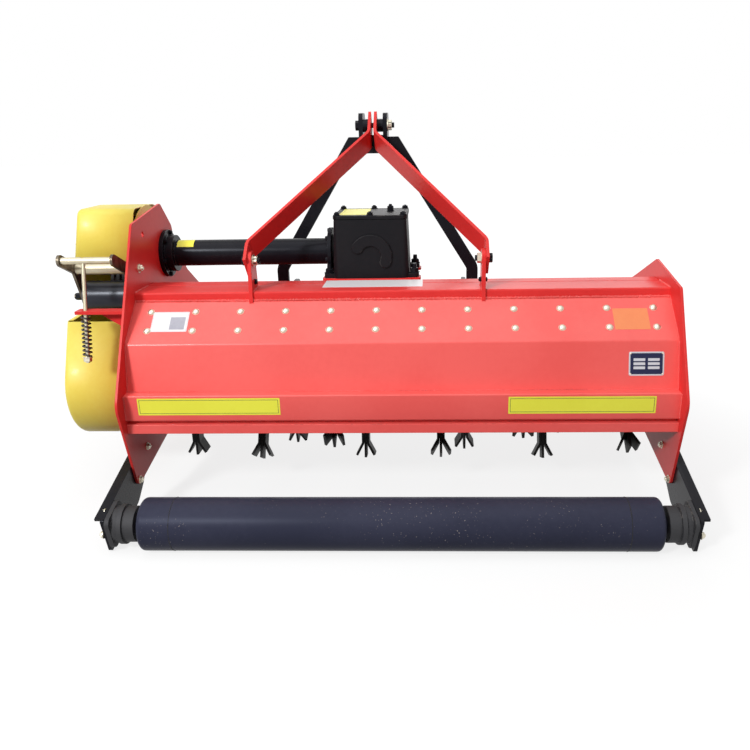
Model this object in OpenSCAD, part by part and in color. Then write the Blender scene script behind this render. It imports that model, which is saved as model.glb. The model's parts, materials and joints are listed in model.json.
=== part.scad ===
// Rear-mounted straw chopper with a flail rotor, a side belt drive and a rear ground roller.
// Millimetres. X runs to the right as seen from behind, Y towards the tractor, Z up from the floor.
// Inside placed() X is measured from the housing's middle and Y from the rotor axis.

/* [Housing] */
// Inside width between the side plates
inner_w = 1650; // [1610:5:1690]
// Thickness of each side plate
plate_t = 8; // [6:1:10]
// Thickness of the hood and deck sheets
sheet_t = 5; // [4:1:6]
// Height of the deck above the floor
deck_z = 684; // [680:1:688]
// Rear beam: from the rotor axis back to its rear face
beam_back = 142; // [138:1:146]
// Rear beam: front to rear
beam_d = 120; // [110:1:130]
// Rear beam: height
beam_h = 60; // [55:1:64]
// Wall of the two beam tubes
tube_t = 6; // [4:1:8]
// Front beam: from the rotor axis to its rear face
front_beam_y = 335; // [328:1:342]
// Front beam: side of its square
front_beam_s = 70; // [65:1:75]
// Front beam: height of its top face
front_beam_top = 560; // [554:1:566]

/* [Hood] */
// Fold line of the rear hood: behind the rotor axis
knee_back = 265; // [260:1:270]
// Fold line of the rear hood: height
knee_z = 552; // [546:1:558]
// Lower edge of the rear hood: behind the rotor axis
hood_foot_back = 296; // [292:1:300]
// Lower edge of the rear hood: height
hood_foot_z = 411; // [405:1:417]
// Stiffening band: rear face behind the rotor axis
band_back = 331; // [326:1:336]
// Stiffening band: height
band_h = 82; // [76:1:88]
// Lip bar under the band: height
lip_h = 29; // [25:1:33]
// Groove between band and lip bar
lip_groove = 11; // [8:1:14]
// Pitch of the counter-knives
knife_pitch = 139.5; // [110:0.1:180]
// Least distance of the outer counter-knives from the side plates
knife_edge = 55; // [40:1:58]
// How far a counter-knife stands into the housing
knife_depth = 45; // [30:1:50]

/* [Side plates and skids] */
// Rear foot of a side plate: behind the rotor axis
tip_back = 303; // [298:1:308]
// Rear foot of a side plate: height
tip_z = 100; // [95:1:105]
// Rearmost corner of a side plate: behind the rotor axis
heel_back = 384; // [378:1:390]
// Rearmost corner of a side plate: height
heel_z = 390; // [380:1:400]
// Front edge of a side plate, ahead of the rotor axis
nose_y = 625; // [615:1:640]
// Radius of the sled curve at the front
nose_r = 150; // [130:1:160]
// Rear end of the skid's flat, ahead of the rotor axis
foot_y = 370; // [360:1:380]
// Skid runner thickness
skid_t = 10; // [8:1:12]
// Skid runner width
skid_w = 56; // [40:1:56]
// Height to which the skid runs up the nose
skid_top = 300; // [250:5:340]

/* [Rotor] */
// Height of the rotor axis
rotor_z = 345; // [341:1:349]
// Radius of the flail tips
flail_r = 262; // [255:1:265]
// Radius of the rotor tube
drum_r = 76; // [70:1:80]
// Half length of the rotor tube is this much short of the side plate
drum_gap = 18; // [14:1:25]
// Radius of the rotor journals
shaft_r = 25; // [22:1:28]
// Flail stations along the rotor
stations = 18; // [16:1:18]
// Pitch of the stations
station_pitch = 85; // [80:1:86]
// Turn from one station to the next, degrees
station_turn = 50; // [40:1:60]
// Radius of the flail pivots
pivot_r = 112; // [108:1:116]
// Flail blade thickness
blade_t = 8; // [6:1:9]
// Flail blade width
blade_w = 50; // [40:1:54]
// Radius at which an outer blade bends away
bend_r = 215; // [206:1:222]
// Bend of an outer blade, degrees
bend_a = 28; // [24:1:32]
// Flail pin radius
flail_pin_r = 8; // [7:1:9]

/* [Drive] */
// Cross shaft: ahead of the rotor axis
cross_y = 185; // [180:1:190]
// Cross shaft: height
cross_z = 758; // [752:1:764]
// Cross shaft radius
cross_r = 20; // [18:1:24]
// Outer radius of the tube round the cross shaft
shaft_tube_r = 44.5; // [40:0.5:50]
// Gearbox: width
gear_w = 254; // [240:1:270]
// Gearbox: front to rear
gear_d = 250; // [235:1:260]
// Gearbox: top of the casing
gear_top = 876; // [870:1:882]
// How far the gearbox feet stand out on each side
gear_foot = 32; // [25:1:38]
// Gearbox lid thickness
lid_t = 14; // [10:1:18]
// Input shaft: outside radius of the splines
input_r = 17.45; // [15:0.05:20]
// Input shaft: splined length
spline_len = 90; // [70:1:100]
// Rim radius of the drive pulley
drive_pulley_r = 128; // [122:1:130]
// Rim radius of the rotor pulley
rotor_pulley_r = 88; // [84:1:96]
// Belts side by side
belt_count = 4; // [3:1:4]
// Pitch of the belts
belt_pitch = 19; // [18:0.5:20]
// Belt width
belt_w = 10; // [9:0.5:11]
// Belt thickness
belt_t = 11; // [9:0.5:12]

/* [Belt cover and tensioner] */
// Gap between side plate and belt cover
cover_gap = 46; // [44:1:50]
// Width of the belt cover
cover_w = 199; // [192:1:206]
// Sheet thickness of the belt cover
cover_t = 3; // [2:0.5:4]
// Rounding of the belt cover's outer edge
cover_edge = 26; // [15:1:32]
// Radius of the cover round the rotor axis
cover_low_r = 169; // [163:1:174]
// Radius of the cover round the cross shaft
cover_top_r = 166; // [161:1:170]
// Lower edge of the cover's rear opening
mouth_low = 592; // [585:1:598]
// Upper edge of the cover's rear opening
mouth_top = 760; // [756:1:766]
// Tensioner pivot: behind the rotor axis
pivot_back = 81; // [78:1:84]
// Tensioner pivot: height
pivot_z = 751; // [748:1:754]
// Radius of the idler drum
idler_r = 50; // [45:1:52]
// Outer face of the tensioner, from the side plate
tension_w = 201; // [196:1:205]
// Tensioner rod: from the side plate
rod_out = 125; // [115:1:130]
// Tensioner rod at its shelf: behind the rotor axis
rod_back = 205; // [200:1:208]
// Lean of the tensioner rod towards the tractor, degrees
rod_lean = 12.5; // [10:0.5:14]
// Tensioner rod radius
rod_r = 6; // [5:0.5:7]
// Top of the spring shelf
shelf_z = 646; // [641:1:651]
// Length of the spring
spring_len = 130; // [120:1:136]
// Turns of the spring
spring_turns = 9; // [7:1:11]

/* [Roller] */
// Radius of the rear roller
roller_r = 76.5; // [74:0.5:79]
// Length of the rear roller
roller_len = 1480; // [1470:2:1490]
// Roller axis: behind the rotor axis
roller_back = 497; // [491:1:503]
// Radius of the roller's stub axles
stub_r = 25; // [20:1:28]
// Roller arm thickness
arm_t = 10; // [8:1:12]
// Width of the flange along a roller arm
arm_flange = 19; // [15:1:25]

/* [Hitch] */
// Middle of the hitch: to the left of the housing's middle
hitch_left = 100; // [95:1:105]
// Between the shoulders of the two lower hitch pins
lower_span = 683; // [675:1:690]
// Lower hitch pin radius
hitch_pin_r = 14; // [11:0.5:15]
// Free length of a lower hitch pin
hitch_pin_len = 105; // [90:1:120]
// Lower hitch pin: ahead of the rotor axis
hitch_y = 475; // [468:1:482]
// From lower to upper hitch point
mast_h = 610; // [600:1:620]
// Upper hitch bore radius
top_bore_r = 12.85; // [12.5:0.05:13.5]
// Width over the two cheeks of the mast head
head_w = 100; // [94:1:110]
// Mast leg: width
leg_w = 42; // [38:1:48]
// Mast leg: thickness
leg_t = 20; // [16:1:24]
// Stay bar: width
stay_w = 80; // [70:1:86]
// Stay bar: thickness
stay_t = 10; // [8:1:12]
// Half distance between the lower ends of the stays
stay_spread = 365; // [358:1:370]

/* [Hidden] */
$fn = 48;
// Running clearance of a shaft in its bearing
run = 0.05;
// Clearance of a plain seat that does not turn
seat = 0.02;
// Clearance between a belt and what it runs on
belt_gap = 0.4;
// Clearance between a curved piece and its seat
soft_gap = 0.3;
// Straight pieces in one rounded corner
arc_steps = 6;
// Larger than the whole machine
far = 3000;

wall_in = inner_w / 2;
wall_out = wall_in + plate_t;
arm_out = wall_out + arm_t;
cover_in = wall_out + cover_gap;
cover_out = cover_in + cover_w;
housing_x = (cover_out - arm_out - arm_flange) / 2;
nose_out = nose_y + skid_t;
rotor_y = (roller_back + roller_r - nose_out) / 2;
hitch_x = -hitch_left;
hitch_z = front_beam_top;
top_z = hitch_z + mast_h;

// Hood
band_front = hood_foot_back - 2 * sheet_t;
band_low = hood_foot_z - band_h;
lip_low = band_low - lip_groove - lip_h;
lip_step = (band_back - band_front) / 2;
hood_drop = 22.5;
hood_top = [-beam_back + sheet_t, deck_z - hood_drop];
knee = [-knee_back, knee_z];
hood_foot = [-hood_foot_back, hood_foot_z];
hood_slope = atan2(hood_top.y - knee.y, hood_top.x - knee.x);
hood_len = norm(hood_top - knee);
knife_t = 10;
knife_count = floor((inner_w - 2 * knife_edge) / knife_pitch) + 1;
fold_y = 35;
deck_front = [front_beam_y + 2 * sheet_t, front_beam_top - 1];
deck_fall = (deck_z - deck_front.y) / (deck_front.x - fold_y);

// Gearbox
seat_t = 8;
seat_front = front_beam_y - 8;
seat_back = fold_y + 23;
seat_edge = 6;
seat_low = deck_z - seat_t;
gear_low = deck_z;
gear_y = cross_y;
boss_out = 10;
boss_wall = 13;
foot_t = 14;
foot_d = 46;
foot_at = gear_d / 2 - foot_d / 2 - 10;
flange_t = 14;
flange_out = 36.5;
hub_out = 18;
hub_len = 40;
gear_left = hitch_x - gear_w / 2;
gear_front = gear_y + gear_d / 2;

// Rotor: depth of a bearing outside its side plate, gap between blades, and lugs
bearing_d = 26;
blade_gap = 0.6;
lug_t = 10;
lug_in = 1.5 * blade_t + 2 * blade_gap;

// Belt drive
cross = [cross_y, cross_z];
rotor = [0, rotor_z];
belt_side = (belt_count * belt_pitch) / 2;
belt_x = cover_in + 55;
groove_r = belt_t;
drive_line = atan2(cross.y - rotor.y, cross.x - rotor.x);
centre_gap = norm(cross - rotor);
belt_in_low = rotor_pulley_r - groove_r + belt_gap;
belt_in_top = drive_pulley_r - groove_r + belt_gap;
belt_back_low = belt_in_low + belt_t;
belt_back_top = belt_in_top + belt_t;
// Direction square to the rear run of the belts, pointing away from them
run_dir = drive_line + acos((belt_back_low - belt_back_top) / centre_gap);
run_out = [cos(run_dir), sin(run_dir)];
run_low = rotor + belt_back_low * run_out;
run_top = cross + belt_back_top * run_out;
idler_at = 0.62;
idler = run_low + idler_at * (run_top - run_low) + (idler_r + belt_gap) * run_out;
idler_axle_r = 10;
axle_out = 28;
pivot = [-pivot_back, pivot_z];
rod_rise = 146;
rod_top = [-rod_back + rod_rise * tan(rod_lean), shelf_z + rod_rise];
cheek_t = 8;
tension_in = wall_out + 28;
tension_out = wall_out + tension_w;
rod_x = -(wall_out + rod_out);
cross_tube_r = 10.5;
shelf_t = 10;
shelf_d = 40;
shelf_rib = 60;
rod_tail = 30;
rod_head = 18;
washer_t = 3;
spring_r = 10;
wire_r = 2;
// Ends of the spring along the leaning rod, from the top of its shelf
spring_top = -(shelf_t + (spring_r + wire_r) * sin(rod_lean)) / cos(rod_lean);
spring_low = spring_top - spring_len;
nut_h = 10;
// Posts of the cover as [centre, distance, angle]
posts = [[rotor, 122, -60], [rotor, 122, 212], [cross, 100, 60], [cross, 100, 150]];

// Roller and its arms
roller_at = [-roller_back, roller_r];
arm_top = 225;
arm_rows = [
    [-145, arm_top, 10],
    [-roller_back - 60, 116, 6],
    [-roller_back - 30, 3, 8],
    [-tip_back, 45, 60],
    [-244, 88, 40]];

// Hitch
leg_y = front_beam_y + 10;
cheek_w = 15;
stay_a = [leg_y + 5, top_z];
stay_b = [-beam_back + 37, deck_z + 91];
stay_foot = 42;
stay_gap = 10;
stay_line = norm(stay_b - stay_a);
stay_turn = 180 + atan2(stay_a.y - stay_b.y, stay_a.x - stay_b.x);
stay_bolt_r = 9;
bracket_in = stay_spread - 12;
bracket_tab = 10;
top_link_y = leg_y + 75;
head_drop = 100;
head_rise = 42;
hitch_plate_t = 16;
collar_t = 8;
hitch_face = lower_span / 2 - collar_t;
hitch_at = [hitch_y, hitch_z];

// Outline rows are [forward or across, height, corner radius].
foot_rows = [
    [nose_y, front_beam_top - 120, 40],
    [nose_y, skid_t, nose_r],
    [foot_y, skid_t, 15],
    [-11, 158, 30]];
tail_rows = [
    [-tip_back, tip_z, 20],
    [-heel_back, heel_z, 60]];
right_rows = concat(tail_rows, [
    [-225, deck_z + 16, 12],
    [27, deck_z + 60, 25],
    [244, deck_z - 29, 60],
    [nose_y - 40, front_beam_top - 40, 60]], foot_rows);
left_rows = concat(tail_rows, [
    [-95, cross_z + 132, 15],
    [174, cross_z + 172, 22],
    [266, cross_z + 87, 30],
    [276, cross_z + 37, 20],
    [390, front_beam_top + 108, 60],
    [nose_y - 38, front_beam_top - 10, 60]], foot_rows);

function unit(v) = v / norm(v);
function left_of(v) = [-v.y, v.x];
function turn_of(a, b) = a.x * b.y - a.y * b.x;
function flat(row) = [row[0], row[1]];

// Points of an arc from just after one angle to another
function arc(mid, r, from, to) =
    let (n = 4 * arc_steps)
    [for (k = [1:n]) let (a = from + (to - from) * k / n) mid + r * [cos(a), sin(a)]];

// Points of the arc that rounds corner c between its neighbours p and n
function corner(p, c, n, r) =
    let (
        a = unit(p - c),
        b = unit(n - c),
        half = acos(a * b) / 2,
        mid = c + unit(a + b) * r / sin(half),
        from = c + a * r / tan(half) - mid,
        to = c + b * r / tan(half) - mid,
        start = atan2(from.y, from.x),
        sweep = atan2(turn_of(from, to), from * to))
    [for (k = [0:arc_steps])
        let (a = start + sweep * k / arc_steps)
        mid + r * [cos(a), sin(a)]];

// Closed outline with rounded corners from rows
function rounded(rows) =
    let (n = len(rows))
    [for (i = [0:n - 1])
        let (
            p = flat(rows[(i + n - 1) % n]),
            c = flat(rows[i]),
            q = flat(rows[(i + 1) % n]),
            r = rows[i][2])
        each r > 0 ? corner(p, c, q, r) : [c]];

// Open path with rounded bends from rows
function bent(rows) =
    let (last = len(rows) - 1)
    [for (i = [0:last])
        each i == 0 || i == last || rows[i][2] <= 0
            ? [flat(rows[i])]
            : corner(flat(rows[i - 1]), flat(rows[i]), flat(rows[i + 1]), rows[i][2])];

// Rows moved to the left of their direction by t, their bend radii following
function beside(rows, t) =
    let (last = len(rows) - 1)
    [for (i = [0:last])
        let (
            c = flat(rows[i]),
            before = unit(i == 0 ? flat(rows[1]) - c : c - flat(rows[i - 1])),
            after = unit(i == last ? before : flat(rows[i + 1]) - c),
            bisector = unit(left_of(before) + left_of(after)),
            place = c + bisector * t / (bisector * left_of(before)),
            turn = turn_of(before, after),
            r = rows[i][2])
        [place.x, place.y, r <= 0 ? 0 : r - sign(turn) * t]];

// Outline of a bent strip of thickness t on the left of its path
function strip(rows, t) =
    let (far_side = bent(beside(rows, t)), n = len(far_side))
    concat(bent(rows), [for (i = [n - 1:-1:0]) far_side[i]]);

// Outline of a link with round ends
function link(a, b, r) =
    let (dir = atan2(b.y - a.y, b.x - a.x), n = 2 * arc_steps)
    concat(
        [for (k = [0:n]) let (turn = dir - 90 + 180 * k / n) b + r * [cos(turn), sin(turn)]],
        [for (k = [0:n]) let (turn = dir + 90 + 180 * k / n) a + r * [cos(turn), sin(turn)]]);

// Outline of a loop drawn tight round the rotor axis and the cross shaft
function loop(low_r, top_r) =
    let (open = acos((low_r - top_r) / centre_gap), n = 4 * arc_steps)
    concat(
        [for (k = [0:n])
            let (a = drive_line - open + 2 * open * k / n)
            cross + top_r * [cos(a), sin(a)]],
        [for (k = [0:n])
            let (a = drive_line + open + 2 * (180 - open) * k / n)
            rotor + low_r * [cos(a), sin(a)]]);

// Rectangle between two corners with rounded corners
function block(a, b, r) = rounded([[a.x, a.y, r], [b.x, a.y, r], [b.x, b.y, r], [a.x, b.y, r]]);

module placed() {
    translate([housing_x, rotor_y, 0]) children();
}

// Extrudes a side view between two distances from the middle, on side -1 or 1
module across(side, x0, x1) {
    translate([min(side * x0, side * x1), 0, 0]) rotate([90, 0, 90]) linear_extrude(abs(x1 - x0)) children();
}

// Extrudes a side view over the whole inside width
module full_width() {
    across(1, -wall_in, wall_in) children();
}

// Round bar along X at a side-view point
module bar_x(at, x0, x1, r) {
    translate([min(x0, x1), at.x, at.y]) rotate([0, 90, 0]) cylinder(h = abs(x1 - x0), r = r);
}

// Six-sided nut or bolt head along X
module nut_x(at, x0, x1, r) {
    translate([min(x0, x1), at.x, at.y]) rotate([0, 90, 0]) cylinder(h = abs(x1 - x0), r = r, $fn = 6);
}

module box_tube(a, b) {
    difference() {
        polygon(block(a, b, tube_t));
        polygon(block(a + [tube_t, tube_t], b - [tube_t, tube_t], 2));
    }
}

module side_plate_left() {
    color("firebrick") placed() across(-1, wall_in, wall_out) difference() {
        polygon(rounded(left_rows));
        translate(rotor) circle(r = shaft_r + 15);
        translate(cross) circle(r = cross_r + 10);
        translate([-15, cross_z + 91]) circle(r = 9);
    }
}

module side_plate_right() {
    color("firebrick") placed() across(1, wall_in, wall_out) difference() {
        polygon(rounded(right_rows));
        translate(rotor) circle(r = shaft_r + 15);
    }
}

module skid(side) {
    rows = [[foot_y, 0, 0], [nose_out, 0, nose_r + skid_t], [nose_out, skid_top, 0]];
    mid = wall_in + plate_t / 2;
    color("black") placed() across(side, mid - skid_w / 2, mid + skid_w / 2) polygon(strip(rows, skid_t));
}

module skid_left() {
    skid(-1);
}

module skid_right() {
    skid(1);
}

module rear_beam() {
    color("crimson") placed() full_width()
        box_tube([-beam_back, deck_z - beam_h], [-beam_back + beam_d, deck_z]);
}

module front_beam() {
    color("crimson") placed() full_width()
        box_tube(
            [front_beam_y, front_beam_top - front_beam_s],
            [front_beam_y + front_beam_s, front_beam_top]);
}

// Folded rear sheet, trimmed to the beam above and the band below
module hood_panel() {
    run_on = hood_foot + 4 * sheet_t * unit(hood_foot - knee);
    rows = [[hood_top.x, hood_top.y, 0], [knee.x, knee.y, 3 * sheet_t], [run_on.x, run_on.y, 0]];
    color("tomato") placed() full_width() difference() {
        polygon(strip(rows, sheet_t));
        translate([-beam_back, 0]) square([far, far]);
        translate([-far, hood_foot_z - far]) square([2 * far, far]);
    }
}

module hood_band() {
    color("tomato") placed() full_width()
        polygon(block([-band_back, band_low], [-band_front, hood_foot_z], 5));
}

module hood_lip() {
    color("tomato") placed() full_width() polygon([
        [-band_back, lip_low],
        [-band_front, lip_low],
        [-band_front, band_low],
        [-band_back + lip_step, band_low],
        [-band_back + lip_step, lip_low + lip_h],
        [-band_back, lip_low + lip_h]]);
}

module top_deck() {
    rows = [
        [deck_front.x, deck_front.y, 0],
        [fold_y, deck_z, 3 * sheet_t],
        [-beam_back + beam_d, deck_z, 0]];
    color("tomato") placed() full_width() difference() {
        polygon(strip(rows, sheet_t));
        translate([front_beam_y, 0]) square([far, far]);
    }
}

// Fixed knives bolted inside the upper rear sheet
module counter_knives() {
    color("dimgray") placed() translate([0, knee.x, knee.y]) rotate([hood_slope, 0, 0])
        for (i = [0:knife_count - 1])
            translate([(i - (knife_count - 1) / 2) * knife_pitch - knife_t / 2, 0, -sheet_t])
                rotate([90, 0, 90]) linear_extrude(knife_t) polygon(rounded([
                    [hood_len * 0.2, 0, 0],
                    [hood_len * 0.3, -knife_depth, 8],
                    [hood_len * 0.72, -knife_depth, 8],
                    [hood_len * 0.82, 0, 0]]));
}

function deck_at(y) = deck_z - (y - fold_y) * deck_fall;

// Bar across the gearbox's underside that ends in two mounting ears, grown by an edge
module gear_ears(y, z, high, edge) {
    half = [gear_w / 2 + gear_foot + edge, foot_d / 2 + edge];
    translate([0, gear_y + y, z]) linear_extrude(high) polygon(block(-half, half, 14));
}

module gearbox_seat() {
    web = 10;
    web_back = fold_y + 25;
    color("crimson") placed() translate([hitch_x, 0, 0]) {
        translate([-gear_w / 2 - seat_edge, seat_back, seat_low])
            cube([gear_w + 2 * seat_edge, seat_front - seat_back, seat_t]);
        for (y = [-foot_at, foot_at])
            gear_ears(y, seat_low, seat_t, seat_edge);
        for (side = [-1, 1])
            across(side, gear_w / 2 - web, gear_w / 2) polygon([
                [web_back, seat_low],
                [web_back, deck_at(web_back)],
                [seat_front, deck_at(seat_front)],
                [seat_front, seat_low]]);
    }
}

module gearbox_housing() {
    round_r = 22;
    waist = 8;
    color("black") placed() difference() {
        union() {
            intersection() {
                translate([hitch_x, gear_y, gear_low]) linear_extrude(gear_top - gear_low)
                    polygon(block([-gear_w, -gear_d] / 2, [gear_w, gear_d] / 2, round_r));
                translate([hitch_x, gear_y - gear_d, 0]) rotate([90, 0, 0]) mirror([0, 0, 1])
                    linear_extrude(2 * gear_d) polygon([
                        [-gear_w / 2, gear_low],
                        [gear_w / 2, gear_low],
                        [gear_w / 2 - waist, gear_top],
                        [-gear_w / 2 + waist, gear_top]]);
            }
            translate([hitch_x, 0, 0]) for (y = [-foot_at, foot_at])
                gear_ears(y, gear_low, foot_t, 0);
            bar_x(cross, gear_left - boss_out, gear_left + 60, shaft_tube_r + boss_wall);
            translate([hitch_x, gear_front + boss_out, cross_z]) rotate([90, 0, 0])
                cylinder(h = 60, r = shaft_tube_r + boss_wall);
        }
        bar_x(cross, gear_left - boss_out - 1, gear_left + 80, cross_r + run);
        translate([hitch_x, gear_front + boss_out + 1, cross_z]) rotate([90, 0, 0])
            cylinder(h = 60, r = input_r + 5 + run);
    }
}

module gearbox_lid() {
    color("black") placed() translate([hitch_x, gear_y, gear_top]) linear_extrude(lid_t)
        polygon(block([-gear_w / 2 + 4, -gear_d / 2 + 2], [gear_w / 2 - 4, gear_d / 2 - 2], 20));
}

// Horseshoe pad cast on the rear wall round the blind end of the input shaft
module gearbox_rear_cap() {
    inner_r = 33;
    outer_r = 71;
    high = 9;
    open_from = -22;
    open_to = 148;
    mid = (inner_r + outer_r) / 2;
    end_r = (outer_r - inner_r) / 2;
    outline = concat(
        arc([0, 0], outer_r, open_from, open_to),
        arc(mid * [cos(open_to), sin(open_to)], end_r, open_to, open_to + 180),
        arc([0, 0], inner_r, open_to, open_from),
        arc(mid * [cos(open_from), sin(open_from)], end_r, open_from + 180, open_from + 360));
    color("black") placed() translate([hitch_x, gear_y - gear_d / 2, cross_z]) rotate([90, 0, 0])
        linear_extrude(high) polygon(outline);
}

module shaft_tube() {
    flange_r = shaft_tube_r + flange_out;
    tube_end = gear_left - boss_out;
    color("black") placed() difference() {
        union() {
            bar_x(cross, -wall_in, tube_end, shaft_tube_r);
            bar_x(cross, -wall_in, -wall_in + flange_t, flange_r);
            bar_x(cross, -wall_in, -wall_in + hub_len, shaft_tube_r + hub_out);
            bar_x(cross, tube_end - flange_t, tube_end, flange_r);
        }
        bar_x(cross, -wall_in - 1, tube_end + 1, cross_r + run);
        bar_x(cross, -wall_in + 40, tube_end - 20, shaft_tube_r - 8);
    }
}

module cross_shaft() {
    color("silver") placed() bar_x(cross, -belt_x - belt_side - 12, gear_left + 78, cross_r);
}

// Side view of a grooved rim, its axis along the first coordinate's zero
module grooved(rim_r, bore_r) {
    flank = 2.6;
    half = belt_w / 2 + 0.6;
    root = rim_r - groove_r;
    rim = [for (i = [0:belt_count - 1])
        let (m = (i - (belt_count - 1) / 2) * belt_pitch)
        each [
            [rim_r, m - half - flank],
            [root, m - half],
            [root, m + half],
            [rim_r, m + half + flank]]];
    edge = belt_side + 3;
    near = [[bore_r, -edge], [rim_r, -edge]];
    distant = [[rim_r, edge], [bore_r, edge]];
    rotate_extrude() polygon(concat(near, rim, distant));
}

module pulley(at, rim_r, bore_r) {
    color("dimgray") placed() translate([-belt_x, at.x, at.y]) rotate([0, 90, 0])
        grooved(rim_r, bore_r + seat);
}

module drive_pulley() {
    pulley(cross, drive_pulley_r, cross_r);
}

module rotor_pulley() {
    pulley(rotor, rotor_pulley_r, shaft_r);
}

// Splined input shaft on the gearbox's front
module input_shaft() {
    teeth = 6;
    root_r = input_r - 2.6;
    tooth_w = 8.6;
    collar = input_r + 5;
    start = gear_front + boss_out;
    color("silver") placed() translate([hitch_x, start, cross_z]) rotate([-90, 0, 0]) {
        translate([0, 0, -56]) cylinder(h = 76, r = collar);
        translate([0, 0, 20]) cylinder(h = spline_len, r = root_r);
        translate([0, 0, 20]) intersection() {
            cylinder(h = spline_len, r = input_r);
            for (k = [0:teeth / 2 - 1])
                rotate([0, 0, 180 * k / (teeth / 2)])
                    translate([-2 * input_r, -tooth_w / 2, 0]) cube([4 * input_r, tooth_w, spline_len]);
        }
    }
}

module mouth() {
    translate([-far + 45, mouth_low]) square([far, mouth_top - mouth_low]);
}

// Solid of the cover's outline from one depth outwards, inset and rounded towards its outer face
module cover_form(start, inset, edge) {
    skin = 0.5;
    bend = cover_out - inset - edge;
    hull() {
        across(-1, start, bend) polygon(loop(cover_low_r - inset, cover_top_r - inset));
        for (a = [18:18:90])
            across(-1, bend + edge * sin(a) - skin, bend + edge * sin(a)) {
                less = inset + edge * (1 - cos(a));
                polygon(loop(cover_low_r - less, cover_top_r - less));
            }
    }
}

module belt_cover() {
    color("gold") placed() difference() {
        cover_form(cover_in + cover_t, 0, cover_edge);
        cover_form(cover_in, cover_t, cover_edge - cover_t);
        across(-1, cover_in, cover_out + 1) mouth();
    }
}

module cover_back() {
    color("gold") placed() {
        across(-1, cover_in, cover_in + cover_t) difference() {
            polygon(loop(cover_low_r, cover_top_r));
            translate(rotor) circle(r = shaft_r + 25);
            translate(cross) circle(r = cross_r + 20);
            mouth();
        }
        for (p = posts)
            bar_x(p[0] + p[1] * [cos(p[2]), sin(p[2])], -wall_out, -cover_in, 10);
    }
}

module drive_belts() {
    color("black") placed() for (i = [0:belt_count - 1]) {
        mid = belt_x + (i - (belt_count - 1) / 2) * belt_pitch;
        across(-1, mid - belt_w / 2, mid + belt_w / 2) difference() {
            polygon(loop(belt_back_low, belt_back_top));
            polygon(loop(belt_in_low, belt_in_top));
        }
    }
}

// Stands children on the leaning rod, Z up along it from the top of its shelf
module on_rod() {
    translate([rod_x, -rod_back, shelf_z]) rotate([-rod_lean, 0, 0]) children();
}

module tensioner_shelf() {
    shelf_out = wall_out + rod_out + 26;
    back = rod_back + shelf_d / 2;
    rib_out = 95;
    rib_t = 8;
    color("firebrick") placed() difference() {
        union() {
            across(-1, wall_out, shelf_out)
                translate([-back, shelf_z - shelf_t]) square([shelf_d, shelf_t]);
            translate([-wall_out, -back + shelf_d, shelf_z - shelf_t]) rotate([90, 0, 0])
                linear_extrude(rib_t) polygon([[0, 0], [-rib_out, 0], [0, -shelf_rib]]);
        }
        on_rod() translate([0, 0, -far / 2]) cylinder(h = far, r = rod_r + 2);
    }
}

module tensioner_arm() {
    color("tan") placed() difference() {
        union() {
            for (x = [tension_in, tension_out - cheek_t]) {
                across(-1, x, x + cheek_t) polygon(link(pivot, idler, 22));
                across(-1, x, x + cheek_t) polygon(link(pivot, rod_top, 18));
            }
            bar_x(pivot, -wall_out, -tension_out - 4, 17.5);
            bar_x(rod_top, -tension_in, -tension_out, cross_tube_r);
            bar_x(idler, -tension_in, -tension_out - axle_out, idler_axle_r);
        }
        on_rod() cylinder(h = far, r = rod_r + soft_gap);
    }
}

module idler_drum() {
    wide = tension_out - tension_in - 2 * cheek_t - 10;
    middle = (tension_in + tension_out) / 2;
    color("dimgray") placed() translate([-middle, idler.x, idler.y]) rotate([0, 90, 0])
        rotate_extrude() polygon([
            [idler_axle_r + run, -wide / 2],
            [idler_r - 3, -wide / 2],
            [idler_r, -wide / 2 + 3],
            [idler_r, wide / 2 - 3],
            [idler_r - 3, wide / 2],
            [idler_axle_r + run, wide / 2]]);
}

module tensioner_rod() {
    low = spring_low - rod_tail;
    top = rod_rise / cos(rod_lean) + cross_tube_r;
    washer_z = spring_low - washer_t - soft_gap;
    color("silver") placed() on_rod() {
        translate([0, 0, low]) cylinder(h = top + rod_head - low, r = rod_r);
        translate([0, 0, washer_z]) cylinder(h = washer_t, r = spring_r + 4);
        for (z = [washer_z - nut_h, top + soft_gap])
            translate([0, 0, z]) cylinder(h = nut_h, r = 10, $fn = 6);
    }
}

// Coil swept along a helix
module tensioner_spring() {
    per_turn = 14;
    sides = 6;
    rings = spring_turns * per_turn;
    rise = spring_len - 2 * (wire_r + soft_gap);
    points = [for (k = [0:rings], j = [0:sides - 1])
        let (
            a = 360 * k / per_turn,
            q = 360 * j / sides,
            r = spring_r + wire_r * cos(q))
        [r * cos(a), r * sin(a), rise * k / rings + wire_r * sin(q)]];
    walls = [for (k = [0:rings - 1], j = [0:sides - 1])
        let (m = (j + 1) % sides)
        [(k + 1) * sides + j, (k + 1) * sides + m, k * sides + m, k * sides + j]];
    ends = [[for (j = [0:sides - 1]) j], [for (j = [sides - 1:-1:0]) rings * sides + j]];
    color("silver") placed() on_rod() translate([0, 0, spring_low + wire_r + soft_gap])
        polyhedron(points = points, faces = concat(walls, ends));
}

// Stands children at each flail group, X along the rotor and Z out from it
module at_flails() {
    for (i = [0:stations - 1], half = [0, 180])
        translate([(i - (stations - 1) / 2) * station_pitch, 0, rotor_z])
            rotate([i * station_turn + half, 0, 0]) children();
}

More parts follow.
